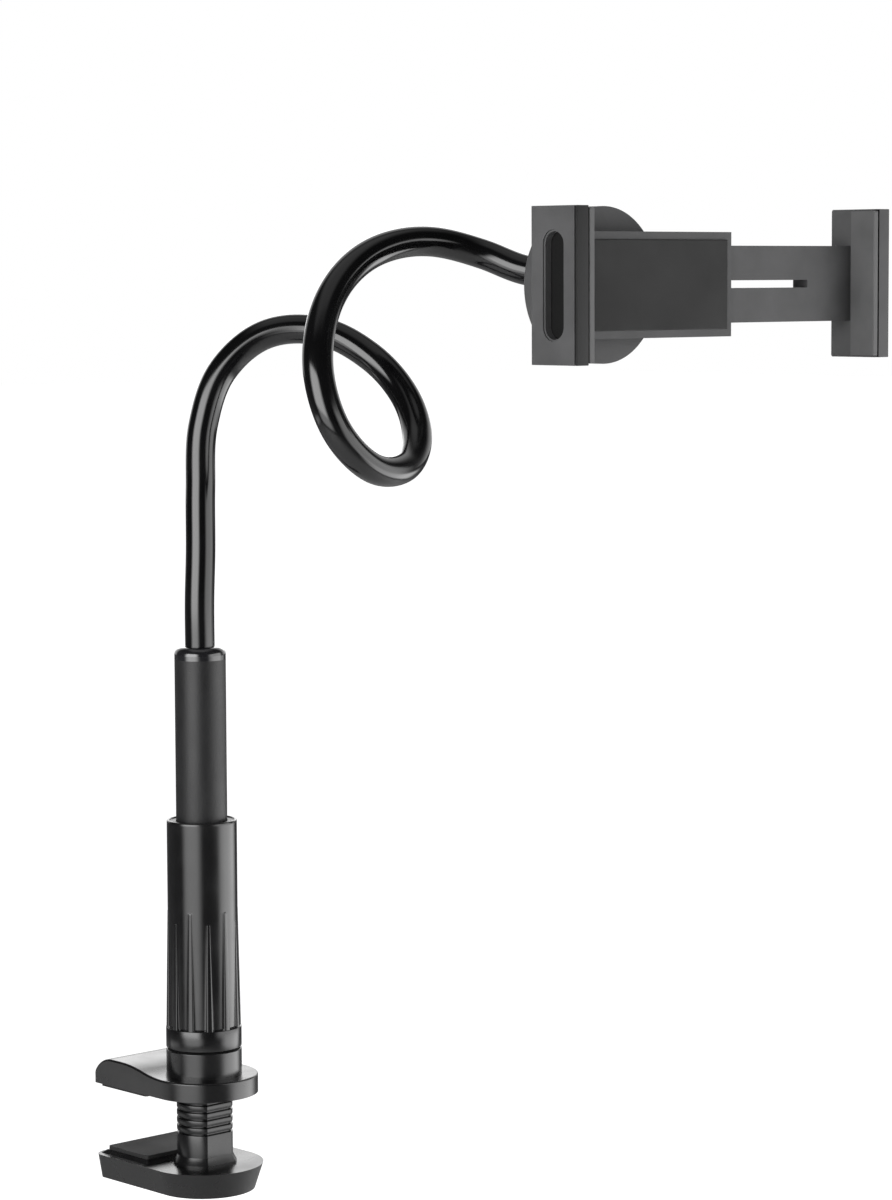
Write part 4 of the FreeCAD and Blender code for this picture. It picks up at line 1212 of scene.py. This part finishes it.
@dataclass
class Studio:
    """Camera, soft light, pale floor and white surroundings."""

    post_node: str = "handle_grip"
    camera_from_post: Vector = field(
        default_factory=lambda: Vector((-1.2112, -1.4857, 0.4345)))
    yaw_deg: float = 43.06
    pitch_deg: float = 5.11
    roll_deg: float = -0.24
    lens_mm: float = 109.71
    sensor_mm: float = 36.0
    far_clip: float = 60.0
    floor_z: float = -0.74
    floor_half: float = 30.0
    floor_colour: Colour = (0.75, 0.75, 0.75, 1.0)
    floor_roughness: float = 0.9
    floor_glow: Pair = (0.5, 1.0)
    shadow_reach: Pair = (0.5, 1.5)
    backdrop_edge: Pair = (0.5, 0.75)
    fill_colour: Colour = (0.10, 0.10, 0.102, 1.0)
    dim_colour: Colour = (0.03, 0.03, 0.03, 1.0)
    boxes: tuple[SoftBox, ...] = (
        SoftBox("upper_left_box", -36, 0.70, 2.0, (2.9, 1.6), 7.4, (0.3, 0.16), 0.70),
        SoftBox("lower_left_box", -30, -0.27, 2.0, (3.1, 0.85), 3.2, (0.35, 0.3), -0.27),
        SoftBox("upper_right_box", 78, 0.45, 1.5, (2.7, 1.1), 3.0, (0.3, 0.2), 0.45),
        SoftBox("lower_right_box", 97, -0.27, 1.5, (3.0, 0.85), 4.6, (0.35, 0.3), -0.27),
        SoftBox("low_left_strip", -97, -0.50, 2.0, (1.9, 0.35), 1.2, (0.2, 0.35), -0.50),
        SoftBox("rear_box", 180, 1.0, 2.6, (3.0, 1.4), 2.2, (0.25, 0.25), 0.2, in_view=False),
        SoftBox("top_box", 0, 2.4, 0.02, (3.0, 3.0), 0.5, (0.3, 0.3), 0.2),
    )

    def _aim(self) -> None:
        """Stand the camera where the photograph was taken from."""
        yaw, pitch, roll = (math.radians(a) for a in (self.yaw_deg, self.pitch_deg, self.roll_deg))
        level = Vector((math.sin(yaw), math.cos(yaw), 0))
        right = Vector((math.cos(yaw), -math.sin(yaw), 0))
        ahead = level * math.cos(pitch) - Z_AXIS * math.sin(pitch)
        over = level * math.sin(pitch) + Z_AXIS * math.cos(pitch)
        side = right * math.cos(roll) + over * math.sin(roll)
        top = over * math.cos(roll) - right * math.sin(roll)
        data = bpy.data.cameras.new("camera")
        data.sensor_width = self.sensor_mm
        data.lens = self.lens_mm
        data.clip_end = self.far_clip
        camera = bpy.data.objects.new("camera", data)
        turn = Matrix((side, top, -ahead)).transposed().to_4x4()
        place = upright_axis(self.post_node) + self.camera_from_post
        camera.matrix_world = Matrix.Translation(place) @ turn
        bpy.context.scene.collection.objects.link(camera)
        bpy.context.scene.camera = camera

    def _hang(self, box: SoftBox) -> None:
        """Hang one soft box round the post.

        Args:
            box: The lamp.
        """
        post = upright_axis(self.post_node)
        back = math.radians(self.yaw_deg + 180 - box.turn_deg)
        way = Vector((math.sin(back), math.cos(back), 0))
        place = post + way * box.distance + Z_AXIS * box.height
        data = bpy.data.lights.new(box.name, "AREA")
        data.shape = "RECTANGLE"
        data.size, data.size_y = box.size
        data.energy = box.glow * math.pi * box.size[0] * box.size[1]
        self._soften(data, box)
        lamp = bpy.data.objects.new(box.name, data)
        lamp.location = place
        lamp.rotation_mode = "QUATERNION"
        aim = post + Z_AXIS * box.aim_height - place
        lamp.rotation_quaternion = aim.to_track_quat("-Z", "Y")
        lamp.visible_camera = box.in_view
        bpy.context.scene.collection.objects.link(lamp)

    @staticmethod
    def _soften(data: bpy.types.AreaLight, box: SoftBox) -> None:
        """Let a lamp's face fade out towards its edges.

        Args:
            data: The lamp.
            box: What it should be.
        """
        data.use_nodes = True
        tree = data.node_tree
        face = tree.nodes.new("ShaderNodeNewGeometry")
        sides = tree.nodes.new("ShaderNodeSeparateXYZ")
        tree.links.new(face.outputs["Parametric"], sides.inputs["Vector"])
        fades = []
        for side, soft in zip("XY", box.soft):
            inward = maths(tree, "PINGPONG", sides.outputs[side], 0.5)
            fades.append(spread(tree, inward, (0.0, soft), eased=True))
        strength = maths(tree, "MULTIPLY", *fades)
        tree.links.new(strength, tree.nodes["Emission"].inputs["Strength"])

    def _surround(self) -> None:
        """White for the camera, white behind the holder for its gloss, and a soft fill."""
        world = bpy.data.worlds.new("surroundings")
        bpy.context.scene.world = world
        world.use_nodes = True
        tree = world.node_tree
        background = tree.nodes["Background"]
        background.inputs["Strength"].default_value = 1.0
        yaw = math.radians(self.yaw_deg)
        heading = tree.nodes.new("ShaderNodeTexCoord").outputs["Generated"]
        ahead = vector_maths(tree, "DOT_PRODUCT", "Value", heading,
                             (math.sin(yaw), math.cos(yaw), 0.0))
        sector = spread(tree, ahead, self.backdrop_edge, eased=True)
        rays = tree.nodes.new("ShaderNodeLightPath").outputs
        gloss = maths(tree, "MAXIMUM", rays["Is Glossy Ray"], rays["Is Transmission Ray"])
        behind = maths(tree, "MULTIPLY", gloss, sector)
        white = maths(tree, "MAXIMUM", rays["Is Camera Ray"], behind)
        dusk = mixed(tree, gloss, self.fill_colour, self.dim_colour)
        shade = mixed(tree, white, dusk, WHITE)
        tree.links.new(shade, background.inputs["Color"])

    def _lay_floor(self) -> None:
        """Pale floor far under the clamp, with the holder's soft shadow near its middle."""
        mesh = bmesh.new()
        bmesh.ops.create_grid(mesh, x_segments=2, y_segments=2, size=self.floor_half,
                              matrix=Matrix.Translation((0, 0, self.floor_z)))
        data = bpy.data.meshes.new("floor")
        mesh.to_mesh(data)
        mesh.free()
        floor = bpy.data.objects.new("floor", data)
        data.materials.append(self._floor_paint())
        bpy.context.scene.collection.objects.link(floor)

    def _floor_paint(self) -> bpy.types.Material:
        """White paint that glows for the camera, less so where the shadow falls.

        Returns:
            The floor's material.
        """
        material = bpy.data.materials.new("pale_floor")
        material.use_nodes = True
        tree = material.node_tree
        paint = tree.nodes["Principled BSDF"]
        paint.inputs["Base Color"].default_value = self.floor_colour
        paint.inputs["Roughness"].default_value = self.floor_roughness
        place = tree.nodes.new("ShaderNodeTexCoord").outputs["Object"]
        level = vector_maths(tree, "MULTIPLY", "Vector", place, (1, 1, 0))
        away = vector_maths(tree, "LENGTH", "Value", level)
        lit = spread(tree, away, self.shadow_reach, self.floor_glow)
        rays = tree.nodes.new("ShaderNodeLightPath").outputs
        glow = tree.nodes.new("ShaderNodeEmission")
        glow.inputs["Color"].default_value = WHITE
        tree.links.new(maths(tree, "MULTIPLY", lit, rays["Is Camera Ray"]),
                       glow.inputs["Strength"])
        both = tree.nodes.new("ShaderNodeAddShader")
        tree.links.new(paint.outputs["BSDF"], both.inputs[0])
        tree.links.new(glow.outputs["Emission"], both.inputs[1])
        tree.links.new(both.outputs["Shader"], tree.nodes["Material Output"].inputs["Surface"])
        return material

    def set_up(self) -> None:
        """Put the whole studio up."""
        bpy.context.scene.view_settings.view_transform = "Standard"
        self._aim()
        for box in self.boxes:
            self._hang(box)
        self._surround()
        self._lay_floor()


def main() -> None:
    """Dress the solids, build the new pieces and set up the studio."""
    logging.basicConfig(level=logging.INFO, format="%(name)s: %(message)s")
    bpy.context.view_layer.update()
    shop = Workshop()
    for finish, nodes in NODE_FINISHES.items():
        for node in nodes:
            shop.dress(node, finish)
    Neck(shop).build()
    HandleGrip(shop).build()
    ScrewedStem(shop).build()
    GripPlate(shop, "fixed_jaw_face", "holder", SHADED_LIP_PLASTIC, pad_side=1).build()
    GripPlate(shop, "sliding_jaw_face", "slider", HOLDER_PLASTIC, pad_side=-1).build()
    SeatShell(shop).build()
    TensionSprings(shop).build()
    CrossScrews(shop, "cover_screws", "holder", Y_AXIS, 2.4 * MM, 1.5 * MM, 1.3 * MM).build()
    CrossScrews(shop, "fixed_jaw_screws", "holder", X_AXIS, 2.0 * MM, 1.2 * MM, 1.1 * MM).build()
    CrossScrews(shop, "sliding_jaw_screws", "slider", -X_AXIS, 2.0 * MM, 1.2 * MM,
                1.1 * MM).build()
    Studio().set_up()


if __name__ == "__main__":
    main()
